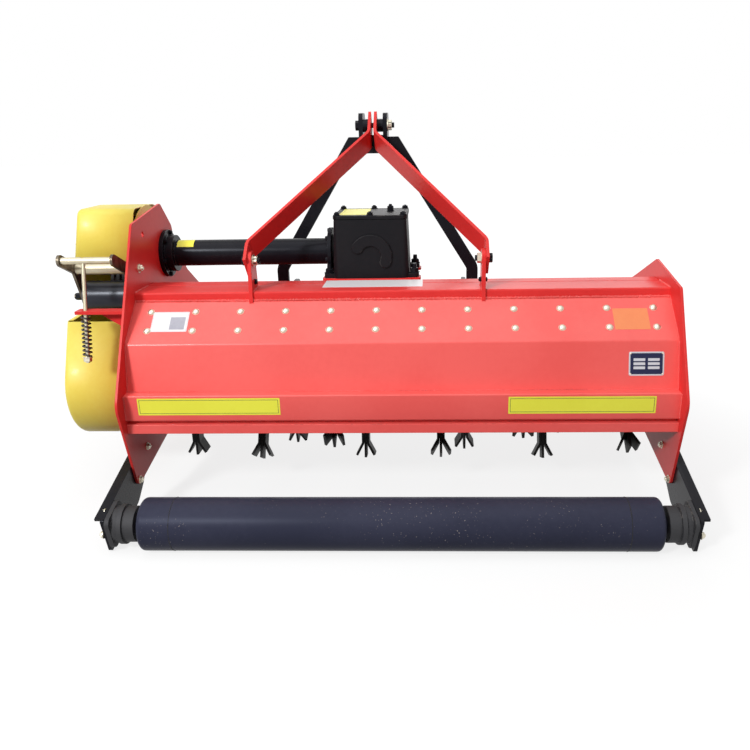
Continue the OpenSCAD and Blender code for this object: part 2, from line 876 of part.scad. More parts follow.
module rotor_drum() {
    drum_end = wall_in - drum_gap;
    color("black") placed() difference() {
        union() {
            bar_x(rotor, -drum_end, drum_end, drum_r);
            bar_x(rotor, -belt_x - belt_side - 12, wall_out + bearing_d + 1, shaft_r);
            at_flails() for (side = [-1, 1])
                across(side, lug_in, lug_in + lug_t) polygon(rounded([
                    [-28, 50, 0], [28, 50, 0], [22, pivot_r + 20, 14], [-22, pivot_r + 20, 14]]));
        }
        at_flails() bar_x([0, pivot_r], -lug_in - lug_t - 1, lug_in + lug_t + 1, flail_pin_r + seat);
    }
}

module flail_blades() {
    heel = pivot_r - 22;
    middle_rows = [[-blade_t / 2, flail_r, 0], [-blade_t / 2, heel, 0]];
    start = blade_t / 2 + blade_gap;
    reach = (flail_r - 6 - bend_r) * tan(bend_a);
    outer_rows = [[start + reach, flail_r - 6, 0], [start, bend_r, 14], [start, heel, 0]];
    color("gray") placed() at_flails() difference() {
        translate([0, blade_w / 2, 0]) rotate([90, 0, 0]) linear_extrude(blade_w) {
            polygon(strip(middle_rows, blade_t));
            polygon(strip(outer_rows, blade_t));
            mirror([1, 0]) polygon(strip(outer_rows, blade_t));
        }
        bar_x([0, pivot_r], -lug_in, lug_in, flail_pin_r + soft_gap);
    }
}

module flail_pins() {
    head = 7;
    reach = lug_in + lug_t;
    color("silver") placed() at_flails() {
        bar_x([0, pivot_r], -reach - head, reach + head, flail_pin_r);
        for (x = [-reach - head, reach])
            nut_x([0, pivot_r], x, x + head, flail_pin_r * 1.7);
    }
}

module rotor_bearing(side) {
    flange = 68;
    flange_t = 12;
    color("black") placed() difference() {
        union() {
            across(side, wall_out, wall_out + flange_t) translate(rotor)
                polygon(block([-flange, -flange], [flange, flange], 18));
            bar_x(rotor, side * (wall_out + flange_t - 1), side * (wall_out + bearing_d), 54);
        }
        bar_x(rotor, side * (wall_out - 1), side * (wall_out + bearing_d + 1), shaft_r + run);
    }
}

module rotor_bearing_left() {
    rotor_bearing(-1);
}

module rotor_bearing_right() {
    rotor_bearing(1);
}

// Roller drum with rounded ends on two stub axles
module roller() {
    half = roller_len / 2;
    edge = 12;
    profile = rounded([[0, -half, 0], [roller_r, -half, edge], [roller_r, half, edge], [0, half, 0]]);
    color("black") placed() {
        translate([0, roller_at.x, roller_at.y]) rotate([0, 90, 0]) rotate_extrude() polygon(profile);
        bar_x(roller_at, -arm_out - 8, arm_out + 8, stub_r);
    }
}

module roller_arm(side) {
    front = flat(arm_rows[0]);
    rear = flat(arm_rows[1]);
    along = unit(rear - front);
    edge = [for (p = [front + 15 * along, rear - 10 * along]) [p.x, p.y, 0]];
    color("black") placed() difference() {
        union() {
            across(side, wall_out, arm_out) polygon(rounded(arm_rows));
            across(side, arm_out - 1, arm_out + arm_flange) polygon(strip(edge, 8));
        }
        bar_x(roller_at, side * (wall_out - 1), side * (arm_out + 1), stub_r + 5);
    }
}

module roller_arm_left() {
    roller_arm(-1);
}

module roller_arm_right() {
    roller_arm(1);
}

module roller_bearing(side) {
    flange = 53;
    hub_r = 52;
    ring_r = 58;
    hub = wall_out - (roller_len / 2 + 15);
    color("black") placed() difference() {
        union() {
            across(side, wall_out - 14, wall_out) translate(roller_at)
                rotate(15) polygon(block([-flange, -flange], [flange, flange], 20));
            bar_x(roller_at, side * (wall_out - hub), side * (wall_out - 13), hub_r);
            bar_x(roller_at, side * (wall_out - 45), side * (wall_out - 30), ring_r);
        }
        bar_x(roller_at, side * (wall_out - hub - 1), side * (wall_out + 1), stub_r + run);
    }
}

module roller_bearing_left() {
    roller_bearing(-1);
}

module roller_bearing_right() {
    roller_bearing(1);
}

module hitch_plate(side) {
    face = front_beam_y + front_beam_s;
    low = front_beam_top - front_beam_s;
    color("black") placed() translate([hitch_x, 0, 0]) difference() {
        across(side, hitch_face - hitch_plate_t, hitch_face) polygon(rounded([
            [face, low, 0],
            [hitch_y + 10, low + 20, 40],
            [hitch_y + 45, hitch_z - 20, 30],
            [hitch_y + 45, hitch_z + 45, 30],
            [face, hitch_z + 45, 20]]));
        bar_x(
            hitch_at, side * (hitch_face + 1), side * (hitch_face - hitch_plate_t - 1),
            hitch_pin_r + seat);
    }
}

module hitch_plate_left() {
    hitch_plate(-1);
}

module hitch_plate_right() {
    hitch_plate(1);
}

module hitch_pin(side) {
    inner = hitch_face - hitch_plate_t;
    color("silver") placed() translate([hitch_x, 0, 0]) {
        bar_x(hitch_at, side * hitch_face, side * lower_span / 2, hitch_pin_r + 8);
        bar_x(hitch_at, side * (inner - 20), side * (lower_span / 2 + hitch_pin_len), hitch_pin_r);
        nut_x(hitch_at, side * (inner - 16), side * inner, hitch_pin_r * 1.7);
    }
}

module hitch_pin_left() {
    hitch_pin(-1);
}

module hitch_pin_right() {
    hitch_pin(1);
}

// One leg of the mast in front view, from the front beam to the head
module mast_leg(side) {
    bend_x = lower_span / 2 + 31;
    bend_z = front_beam_top + 116;
    leg_top = top_z - 38;
    rows = [
        [bend_x, front_beam_top, 0],
        [bend_x, bend_z, 60],
        [head_w / 2 + 38, leg_top, 0],
        [head_w / 2 - 2, leg_top + 62, 0]];
    color("black") placed() translate([hitch_x, leg_y + leg_t, 0]) rotate([90, 0, 0])
        linear_extrude(leg_t) mirror([side < 0 ? 1 : 0, 0]) difference() {
            polygon(strip(rows, leg_w));
            translate([head_w / 2 - far, 0]) square([far, far]);
            translate([0, leg_top]) square([far, far]);
        }
}

module mast_leg_left() {
    mast_leg(-1);
}

module mast_leg_right() {
    mast_leg(1);
}

module mast_head() {
    low = top_z - head_drop;
    high = top_z + head_rise;
    color("black") placed() translate([hitch_x, 0, 0]) difference() {
        union() {
            for (side = [-1, 1])
                across(side, head_w / 2 - cheek_w, head_w / 2) polygon(rounded([
                    [leg_y - 14, low, 15],
                    [leg_y + 50, low, 30],
                    [top_link_y + 30, top_z - 20, 30],
                    [top_link_y + 30, high, 30],
                    [leg_y - 14, high, 25]]));
            translate([-head_w / 2 + 1, leg_y, low + 6]) cube([head_w - 2, leg_t, 22]);
        }
        bar_x([top_link_y, top_z], -head_w, head_w, top_bore_r);
        bar_x(stay_a, -head_w, head_w, stay_bolt_r + soft_gap);
    }
}

// Flat bar bent out from the mast head to the rear beam
module stay(side) {
    inner = stay_gap / 2;
    rows = [
        [inner, -24, 0],
        [inner, 75, 40],
        [stay_spread, stay_line - stay_foot, 30],
        [stay_spread, stay_line + 30, 0]];
    color("crimson") placed() translate([hitch_x, stay_a.x, stay_a.y]) rotate([stay_turn, 0, 0])
        mirror([side < 0 ? 1 : 0, 0, 0]) difference() {
            translate([0, 0, -stay_w / 2]) linear_extrude(stay_w) polygon(strip(rows, -stay_t));
            for (v = [0, stay_line])
                bar_x([v, 0], -far / 2, far / 2, stay_bolt_r + soft_gap);
        }
}

module stay_left() {
    stay(-1);
}

module stay_right() {
    stay(1);
}

// Height of the upper hood sheet's outer face
function hood_at(y) = knee.y + (y - knee.x) * tan(hood_slope);

// Upright plate notched over the rear edge of the beam
module stay_bracket(side) {
    rear = -beam_back - bracket_tab;
    color("crimson") placed() translate([hitch_x, 0, 0]) difference() {
        across(side, bracket_in, stay_spread) polygon(rounded([
            [rear, hood_at(rear) + 1, 0],
            [-beam_back, hood_at(-beam_back) + 1, 0],
            [-beam_back, deck_z, 0],
            [-beam_back + 80, deck_z, 0],
            [stay_b.x + 28, stay_b.y + 28, 24],
            [stay_b.x - 30, stay_b.y + 28, 24]]));
        bar_x(stay_b, side * (bracket_in - 1), side * (stay_spread + 1), stay_bolt_r + soft_gap);
    }
}

module stay_bracket_left() {
    stay_bracket(-1);
}

module stay_bracket_right() {
    stay_bracket(1);
}

module stay_bolts() {
    head = 12;
    color("black") placed() translate([hitch_x, 0, 0]) {
        bar_x(stay_a, -head_w / 2 - head, head_w / 2 + 24, stay_bolt_r);
        nut_x(stay_a, -head_w / 2 - head, -head_w / 2, 17);
        nut_x(stay_a, head_w / 2, head_w / 2 + 15, 17);
        for (side = [-1, 1]) {
            outer = stay_spread + stay_t;
            bar_x(stay_b, side * (bracket_in - head - 8), side * (outer + head), stay_bolt_r);
            nut_x(stay_b, side * (bracket_in - head), side * bracket_in, 15);
            nut_x(stay_b, side * outer, side * (outer + head), 15);
        }
    }
}

side_plate_left();
side_plate_right();
skid_left();
skid_right();
rear_beam();
hood_panel();
hood_band();
hood_lip();
top_deck();
front_beam();
counter_knives();
gearbox_seat();
gearbox_housing();
gearbox_lid();
gearbox_rear_cap();
shaft_tube();
cross_shaft();
drive_pulley();
input_shaft();
belt_cover();
cover_back();
drive_belts();
tensioner_shelf();
tensioner_arm();
idler_drum();
tensioner_rod();
tensioner_spring();
rotor_drum();
flail_blades();
flail_pins();
rotor_pulley();
rotor_bearing_left();
rotor_bearing_right();
roller();
roller_arm_left();
roller_arm_right();
roller_bearing_left();
roller_bearing_right();
hitch_plate_left();
hitch_plate_right();
hitch_pin_left();
hitch_pin_right();
mast_leg_left();
mast_leg_right();
mast_head();
stay_left();
stay_right();
stay_bracket_left();
stay_bracket_right();
stay_bolts();
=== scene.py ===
"""Looks of a rear-mounted straw chopper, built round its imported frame.

Lengths are metres in the frame's own axes: X to the right as seen from behind, Y forward, Z up.
"""

import json
import logging
import math
from dataclasses import dataclass, field
from enum import Enum
from typing import Iterable, Sequence

import bmesh
import bpy
from mathutils import Matrix, Vector


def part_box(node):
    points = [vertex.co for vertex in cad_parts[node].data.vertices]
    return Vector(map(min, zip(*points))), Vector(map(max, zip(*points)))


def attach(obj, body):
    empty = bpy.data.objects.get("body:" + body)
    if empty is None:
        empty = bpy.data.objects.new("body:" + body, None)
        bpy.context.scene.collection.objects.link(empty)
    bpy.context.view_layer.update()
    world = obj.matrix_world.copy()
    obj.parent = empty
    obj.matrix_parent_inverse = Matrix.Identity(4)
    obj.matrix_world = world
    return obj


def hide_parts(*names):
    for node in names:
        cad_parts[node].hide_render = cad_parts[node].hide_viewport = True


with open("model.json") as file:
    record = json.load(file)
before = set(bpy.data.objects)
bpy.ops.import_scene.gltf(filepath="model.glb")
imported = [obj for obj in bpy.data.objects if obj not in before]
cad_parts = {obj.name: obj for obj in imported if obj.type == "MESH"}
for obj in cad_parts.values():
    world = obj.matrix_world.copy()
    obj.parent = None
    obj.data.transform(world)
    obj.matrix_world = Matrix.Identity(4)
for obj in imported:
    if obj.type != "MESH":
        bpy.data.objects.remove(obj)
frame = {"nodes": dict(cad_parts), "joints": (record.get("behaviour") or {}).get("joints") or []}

LOG = logging.getLogger("straw_chopper")
MM = 0.001
Colour = tuple[float, float, float]
FieldRow = tuple[float, float, float, float]
Socket = bpy.types.NodeSocket
Tree = bpy.types.NodeTree
X_AXIS = Vector((1, 0, 0))
Z_AXIS = Vector((0, 0, 1))


class Body(Enum):
    """Bodies of the frame that the scene's own pieces ride on."""

    ROOT = "root"
    ROLLER = "ground_roller"


class Slot(Enum):
    """Names of material slots for the scene's own pieces, which no piece takes in this script."""

    RED = "red_paint"
    BLACK = "black_paint"
    YELLOW = "yellow_paint"
    ZINC = "zinc_plate"


class Graph:
    """Adds nodes to one tree and links them."""

    def __init__(self, tree: Tree) -> None:
        """Keeps the tree that is being built."""
        self.tree = tree

    def feed(self, node: bpy.types.Node, feeds: dict) -> None:
        """Links inputs of a node to source sockets, or sets their values.

        Args:
            node: The node.
            feeds: Output sockets or plain values, by input name or index.
        """
        for key, source in feeds.items():
            if isinstance(source, Socket):
                self.tree.links.new(source, node.inputs[key])
            else:
                node.inputs[key].default_value = source

    def node(self, kind: str, feeds: dict | None = None, **settings: object) -> bpy.types.Node:
        """Adds one node.

        Args:
            kind: Blender's name of the node type.
            feeds: Output sockets or plain values, by input name or index.
            settings: Properties of the node to set.

        Returns:
            The new node.
        """
        made = self.tree.nodes.new(kind)
        for name, value in settings.items():
            setattr(made, name, value)
        self.feed(made, feeds or {})
        return made

    def first(self, kind: str, feeds: dict | None = None, **settings: object) -> Socket:
        """Adds one node and returns its first output."""
        return self.node(kind, feeds, **settings).outputs[0]

    def end(self, **feeds: Socket) -> Tree:
        """Feeds the outputs of a group by name and returns the group."""
        self.node("NodeGroupOutput", feeds)
        return self.tree

    def place(self) -> Socket:
        """Coordinates in the object's own axes."""
        return self.node("ShaderNodeTexCoord").outputs["Object"]

    def math(self, operation: str, a: object, b: object = 0.0, clamp: bool = False) -> Socket:
        """Adds a Math node on one or two values or sockets and returns its result."""
        return self.first("ShaderNodeMath", {0: a, 1: b}, operation=operation, use_clamp=clamp)

    def times(self, a: object, b: object, clamp: bool = False) -> Socket:
        """Multiplies two values or sockets."""
        return self.math("MULTIPLY", a, b, clamp)

    def plus(self, a: object, b: object, clamp: bool = False) -> Socket:
        """Adds two values or sockets."""
        return self.math("ADD", a, b, clamp)

    def blend(self, share: object, a: object, b: object) -> Socket:
        """Mixes two colours by the share of the second one."""
        return self.node("ShaderNodeMix", {0: share, 6: a, 7: b}, data_type="RGBA").outputs[2]

    def ramp(self, value: object, low: float, high: float, to_low: float = 0.0, to_high: float = 1.0) -> Socket:
        """Maps a value smoothly from the range low to high to another range."""
        feeds = dict(enumerate((value, low, high, to_low, to_high)))
        return self.first("ShaderNodeMapRange", feeds, interpolation_type="SMOOTHSTEP")

    def noise(self, place: Socket, scale: object, detail: float = 3.0, rough: float = 0.5) -> Socket:
        """Adds a noise texture with some repeats in a metre and returns its grey."""
        feeds = {"Vector": place, "Scale": scale, "Detail": detail, "Roughness": rough}
        return self.node("ShaderNodeTexNoise", feeds).outputs["Fac"]


def begun(
        name: str, kind: str, inputs: Sequence[tuple],
        outputs: Sequence[tuple]) -> tuple[Graph, dict[str, Socket]]:
    """Starts a node group with named sockets.

    Args:
        name: Name of the group.
        kind: Blender's name of the tree type.
        inputs: Rows of socket name, socket type and default.
        outputs: Rows of socket name and socket type.

    Returns:
        The graph of the group, and its inputs by name.
    """
    tree = bpy.data.node_groups.new(name, kind)
    for label, socket_type, default in inputs:
        socket = tree.interface.new_socket(name=label, in_out="INPUT", socket_type=socket_type)
        if default is not None:
            socket.default_value = default
    for label, socket_type in outputs:
        tree.interface.new_socket(name=label, in_out="OUTPUT", socket_type=socket_type)
    graph = Graph(tree)
    return graph, {socket.name: socket for socket in graph.node("NodeGroupInput").outputs if socket.name}


FLOAT, TINT, SHAPE = "NodeSocketFloat", "NodeSocketColor", "NodeSocketGeometry"
GREY = (0.5, 0.5, 0.5, 1.0)
FINE_DUST = 420.0
CHIP_STRETCH = 5.0
FINE_TONE = 55.0


class SkinGroups:
    """Shader node groups that more than one finish uses."""

    def __init__(self) -> None:
        """Builds each group once."""
        self.dust_and_sheen = self.build_dust_and_sheen()
        self.wear = self.build_wear()
        self.tone = self.build_tone()

    @staticmethod
    def build_dust_and_sheen() -> Tree:
        """Mask of field dust that settles on faces that look up, in patches; on those faces it also paints a
        sheen of the sky.

        Returns:
            The group.
        """
        inputs = [("Amount", FLOAT, 0.3), ("Scale", FLOAT, 9.0)]
        graph, given = begun("settled_dust_and_painted_sheen", "ShaderNodeTree", inputs, [("Mask", FLOAT)])
        place = graph.node("ShaderNodeTexCoord").outputs
        # Faces that look up get settled dust and a painted sheen of the sky.
        up = graph.node("ShaderNodeSeparateXYZ", {0: place["Normal"]}).outputs[2]
        level = graph.ramp(up, 0.1, 0.9)
        patches = graph.ramp(graph.noise(place["Object"], given["Scale"], 6.0, 0.65), 0.3, 0.75, 0.5, 1.0)
        fine = graph.ramp(graph.noise(place["Object"], FINE_DUST, 2.0), 0.4, 0.7, 0.55, 1.0)
        mask = graph.times(graph.times(level, patches), fine)
        return graph.end(Mask=graph.times(mask, given["Amount"], True))

    @staticmethod
    def build_wear() -> Tree:
        """Mask of chips rubbed through a finish, for the rounded edges that it covers.

        Returns:
            The group.
        """
        inputs = [("Amount", FLOAT, 0.5), ("Scale", FLOAT, 60.0)]
        graph, given = begun("rubbed_edges", "ShaderNodeTree", inputs, [("Mask", FLOAT)])
        place = graph.place()
        spots = graph.ramp(graph.noise(place, given["Scale"], 5.0, 0.7), 0.50, 0.60)
        stretches = graph.ramp(graph.noise(place, CHIP_STRETCH, 2.0), 0.40, 0.62)
        return graph.end(Mask=graph.times(graph.times(spots, stretches), given["Amount"], True))

    @staticmethod
    def build_tone() -> Tree:
        """Slow change of colour over a sprayed or cast surface, as a colour and as a grey.

        Returns:
            The group.
        """
        graph, given = begun(
            "uneven_tone", "ShaderNodeTree",
            [("Colour", TINT, GREY), ("Shade", TINT, GREY), ("Scale", FLOAT, 3.0)],
            [("Colour", TINT), ("Grey", FLOAT)])
        place = graph.place()
        slow = graph.noise(place, given["Scale"], 2.0)
        fine = graph.noise(place, FINE_TONE, 4.0, 0.6)
        grey = graph.plus(graph.times(slow, 0.75), graph.times(fine, 0.25))
        share = graph.ramp(grey, 0.35, 0.65)
        return graph.end(Colour=graph.blend(share, given["Colour"], given["Shade"]), Grey=grey)


SKINS = SkinGroups()
# Colour of dust, and of the painted sheen on faces that look up; small splashes take it too.
DUST_AND_SHEEN: Colour = (0.62, 0.54, 0.48)
DUST_ROUGH = 0.4
CHIP_ROUGH = 0.25
CHIP_DEPTH = 0.1 * MM
WAVE_SCALE = 2.6
ROUGH_SPREAD = 0.12
COAT_ROUGH = 0.12
SPECK_SCALE = 210.0
SPECK_FIELDS = 4.5
OUTSIDE_CLOUD_SCALE = 40.0
OUTSIDE_EDGE_SOFT = 1.5 * MM
HEAD_STRAIGHT, HEAD_CROWN, CROWN_TOP = 0.82, 0.18, 0.86
THREAD, THREAD_TOP = 0.55, 0.85
SEED = ("Seed", "NodeSocketInt", 1)
MATERIAL = ("Material", "NodeSocketMaterial", None)


@dataclass(frozen=True)
class Finish:
    """One finish: its colour, its gloss and the marks on it.

    Attributes:
        name: Name of the material.
        colour: Linear colour.
        shade: Linear colour of the darker patches.
        rough: Roughness of the clean surface.
        metal: Metallic share.
        coat: Weight of the clear coat.
        dust_and_sheen: Amount of settled dust and of painted sheen on faces that look up.
        chips: Amount of rubbed edges.
        under: Linear colour below the finish.
        grain: Repeats of the fine bump in a metre.
        relief: Height of the fine bump.
        wave: Height of the slow waves of a sheet.
        level: Specular level.
        tint: Tint of the gloss.
        specks: Amount of small dried splashes.
    """

    name: str
    colour: Colour
    shade: Colour
    rough: float = 0.35
    metal: float = 0.0
    coat: float = 0.0
    dust_and_sheen: float = 0.0
    chips: float = 0.0
    under: Colour = (0.09, 0.085, 0.08)
    grain: float = 700.0
    relief: float = 0.00006
    wave: float = 0.0
    level: float = 0.5
    tint: Colour = (1.0, 1.0, 1.0)
    specks: float = 0.0

    def ground(self, graph: Graph, tone: Socket, place: Socket) -> Socket:
        """Colour of the surface before dust, painted sheen and chips.

        Args:
            graph: Graph of the material.
            tone: Colour of the clean surface.
            place: Coordinates.

        Returns:
            The colour socket.
        """
        if not self.specks:
            return tone
        dots = graph.ramp(graph.noise(place, SPECK_SCALE, 2.0, 0.4), 0.69, 0.75, 0.0, self.specks)
        fields = graph.ramp(graph.noise(place, SPECK_FIELDS, 2.0), 0.46, 0.62)
        return graph.blend(graph.times(dots, fields), tone, (*DUST_AND_SHEEN, 1.0))

    def material(self, edge: bool = False) -> bpy.types.Material:
        """Builds the material, or finds it if it was built before.

        Args:
            edge: Whether it is for rounded edges, where the finish is rubbed through.

        Returns:
            The material.
        """
        name = self.name + "_edge" if edge else self.name
        known = bpy.data.materials.get(name)
        if known:
            return known
        made = bpy.data.materials.new(name)
        made.use_nodes = True
        made.diffuse_color = (*self.colour, 1.0)
        graph = Graph(made.node_tree)
        place = graph.place()
        tone = self.placed(graph, SKINS.tone, Colour=(*self.colour, 1.0), Shade=(*self.shade, 1.0))
        # Settled dust, partly a painted sheen on faces that look up.
        dust_and_sheen = self.placed(graph, SKINS.dust_and_sheen, Amount=self.dust_and_sheen)["Mask"]
        colour = graph.blend(dust_and_sheen, self.ground(graph, tone["Colour"], place), (*DUST_AND_SHEEN, 1.0))
        marks = graph.times(dust_and_sheen, DUST_ROUGH)
        fine = graph.times(graph.noise(place, self.grain, 3.0), self.relief)
        height = graph.plus(fine, graph.times(graph.noise(place, WAVE_SCALE, 1.0), self.wave))
        if edge:
            wear = self.placed(graph, SKINS.wear, Amount=self.chips)["Mask"]
            colour = graph.blend(wear, colour, (*self.under, 1.0))
            marks = graph.plus(marks, graph.times(wear, CHIP_ROUGH))
            height = graph.plus(height, graph.times(wear, -CHIP_DEPTH))
        uneven = {0: tone["Grey"], 1: ROUGH_SPREAD, 2: self.rough - ROUGH_SPREAD / 2}
        rough = graph.first("ShaderNodeMath", uneven, operation="MULTIPLY_ADD")
        bump = graph.first("ShaderNodeBump", {"Distance": 1.0, "Height": height})
        graph.feed(made.node_tree.nodes["Principled BSDF"], {
            "Base Color": colour, "Roughness": graph.plus(rough, marks, True), "Normal": bump,
            "Metallic": self.metal, "Coat Weight": self.coat, "Coat Roughness": COAT_ROUGH,
            "Specular IOR Level": self.level, "Specular Tint": (*self.tint, 1.0)})
        return made

    @staticmethod
    def placed(graph: Graph, group: Tree, **values: object) -> Sequence[Socket]:
        """Places a group in a material with its own values.

        Args:
            graph: Graph of the material.
            group: Group to place.
            values: Values by socket name.

        Returns:
            The outputs of the group node.
        """
        made = graph.node("ShaderNodeGroup", node_tree=group)
        graph.feed(made, values)
        return made.outputs


@dataclass(frozen=True)
class DarkOutsideFinish(Finish):
    """A finish that keeps its own colour between two planes across the machine and is darker outside them.

    Attributes:
        outside_colour: Linear colour outside the two planes.
        unmarked: X of the two planes.
    """

    outside_colour: Colour = (0.0, 0.0, 0.0)
    unmarked: tuple[float, float] = (0.0, 0.0)

    def ground(self, graph: Graph, tone: Socket, place: Socket) -> Socket:
        """Colour of the surface before dust, painted sheen and chips.

        Args:
            graph: Graph of the material.
            tone: Colour of the clean surface.
            place: Coordinates.

        Returns:
            The colour socket.
        """
        across = graph.first("ShaderNodeSeparateXYZ", {0: place})
        # Darker outside the two planes, in clouds.
        left, right = (
            graph.ramp(across, x - OUTSIDE_EDGE_SOFT, x + OUTSIDE_EDGE_SOFT, *results)
            for x, results in zip(self.unmarked, ((1.0, 0.0), (0.0, 1.0))))
        cloud = graph.ramp(graph.noise(place, OUTSIDE_CLOUD_SCALE, 4.0, 0.6), 0.3, 0.7, 0.72, 1.0)
        share = graph.times(graph.math("MAXIMUM", left, right), cloud)
        return graph.blend(share, tone, (*self.outside_colour, 1.0))


# One red paint as two copies: the hood's is lighter, a painted sheen on its upward faces, and the one below is
# deeper, a painted shade on the plates, stays, beams, deck and shelf.
HOOD = Finish(
    "hood_enamel_painted_sheen", (0.86, 0.112, 0.100), (0.82, 0.092, 0.082), 0.36, coat=0.08, dust_and_sheen=0.07, chips=0.5,
    under=(0.24, 0.05, 0.04), relief=0.00002, wave=0.0008, level=0.34)
# Deeper copy of the red: painted shade.
RED = Finish(
    "red_enamel_painted_shade", (0.75, 0.042, 0.039), (0.68, 0.034, 0.032), 0.34, dust_and_sheen=0.05, chips=0.5,
    under=(0.24, 0.05, 0.04), relief=0.00002, wave=0.0003, level=0.12)
BLACK = Finish(
    "black_enamel", (0.006, 0.006, 0.009), (0.010, 0.010, 0.013), 0.27, dust_and_sheen=0.010, chips=0.5,
    under=(0.10, 0.095, 0.09), relief=0.00003, level=0.10, tint=(0.85, 0.9, 1.0))
GEAR_BLACK = Finish(
    "gearbox_enamel", (0.006, 0.006, 0.008), (0.010, 0.009, 0.011), 0.44, dust_and_sheen=0.012, chips=0.5,
    under=(0.10, 0.095, 0.09), grain=300.0, relief=0.00008, level=0.12)
# Black enamel lifted to blue-grey with a blue gloss tint: a painted reflection of the sky.
ROLLER_BLACK = Finish(
    "roller_enamel_painted_reflection", (0.028, 0.030, 0.052), (0.036, 0.038, 0.064), 0.36, dust_and_sheen=0.01, chips=0.5,
    under=(0.13, 0.12, 0.11), relief=0.00004, wave=0.0005, level=0.07, tint=(0.72, 0.80, 1.0), specks=0.4)
YELLOW = Finish(
    "yellow_enamel", (0.86, 0.72, 0.125), (0.83, 0.65, 0.090), 0.42, coat=0.05, dust_and_sheen=0.08, chips=0.4,
    under=(0.35, 0.22, 0.03), relief=0.00002, wave=0.0010, level=0.34)
STEEL = Finish(
    "bare_steel", (0.42, 0.41, 0.40), (0.30, 0.28, 0.26), 0.36, metal=1.0, dust_and_sheen=0.08, grain=260.0)
FORGED = Finish(
    "forged_steel", (0.008, 0.008, 0.009), (0.014, 0.013, 0.012), 0.48, metal=0.2, dust_and_sheen=0.01, chips=0.5,
    under=(0.26, 0.25, 0.24), grain=180.0, relief=0.00018, level=0.15)
ZINC = Finish(
    "zinc_plate", (0.50, 0.50, 0.53), (0.38, 0.38, 0.41), 0.20, metal=1.0, grain=320.0)
GOLD_ZINC = Finish(
    "yellow_zinc_plate", (0.62, 0.57, 0.42), (0.46, 0.40, 0.28), 0.36, metal=0.85, dust_and_sheen=0.04, chips=0.6,
    under=(0.16, 0.10, 0.07), grain=260.0)
# The tensioner arm is darker outside its pivot tube.
ARM_ZINC = DarkOutsideFinish(
    "zinc_plate_dark_outside", (0.66, 0.61, 0.46), (0.50, 0.44, 0.31), 0.38, metal=0.7, dust_and_sheen=0.03, chips=0.6,
    under=(0.12, 0.08, 0.05), grain=260.0, outside_colour=(0.062, 0.042, 0.028), unmarked=(-916 * MM, -763 * MM))
IRON = Finish(
    "cast_iron", (0.010, 0.010, 0.013), (0.018, 0.018, 0.021), 0.42, dust_and_sheen=0.02, chips=0.5,
    under=(0.16, 0.15, 0.14), grain=240.0, relief=0.0002, level=0.20)
DRUM = Finish(
    "drum_enamel", (0.010, 0.011, 0.016), (0.018, 0.019, 0.026), 0.30, dust_and_sheen=0.02, grain=240.0, level=0.30,
    tint=(0.85, 0.9, 1.0))
RUBBER = Finish(
    "belt_rubber", (0.016, 0.016, 0.016), (0.030, 0.029, 0.028), 0.70, dust_and_sheen=0.1, grain=500.0,
    relief=0.0002, level=0.3)
SPRING = Finish(
    "spring_steel", (0.045, 0.043, 0.042), (0.085, 0.070, 0.055), 0.36, metal=0.7, dust_and_sheen=0.03, grain=300.0)
WELD = Finish(
    "painted_weld", (0.84, 0.10, 0.09), (0.62, 0.055, 0.048), 0.34, coat=0.1, dust_and_sheen=0.05, grain=400.0, level=0.36)
BLACK_WELD = Finish("black_weld", (0.010, 0.010, 0.013), (0.018, 0.018, 0.020), 0.34, dust_and_sheen=0.02, level=0.2)
STRIP = Finish("strip_yellow", (0.86, 0.84, 0.065), (0.82, 0.79, 0.055), 0.36, coat=0.08, dust_and_sheen=0.03, level=0.34)
INK = Finish("label_ink", (0.03, 0.03, 0.02), (0.05, 0.05, 0.03), 0.42, dust_and_sheen=0.03)
WHITE = Finish("label_white", (0.80, 0.79, 0.80), (0.73, 0.73, 0.75), 0.36, dust_and_sheen=0.04, level=0.3)
PALE_INK = Finish("label_grey", (0.30, 0.30, 0.36), (0.40, 0.40, 0.46), 0.42, dust_and_sheen=0.04)
ORANGE = Finish("label_orange", (0.84, 0.26, 0.095), (0.80, 0.22, 0.080), 0.40, dust_and_sheen=0.05, level=0.34)
NAVY = Finish("plate_navy", (0.012, 0.015, 0.055), (0.018, 0.022, 0.075), 0.34, dust_and_sheen=0.03, level=0.25)
PLATE_SILVER = Finish("plate_silver", (0.60, 0.60, 0.64), (0.52, 0.52, 0.56), 0.34, metal=0.7, grain=400.0)


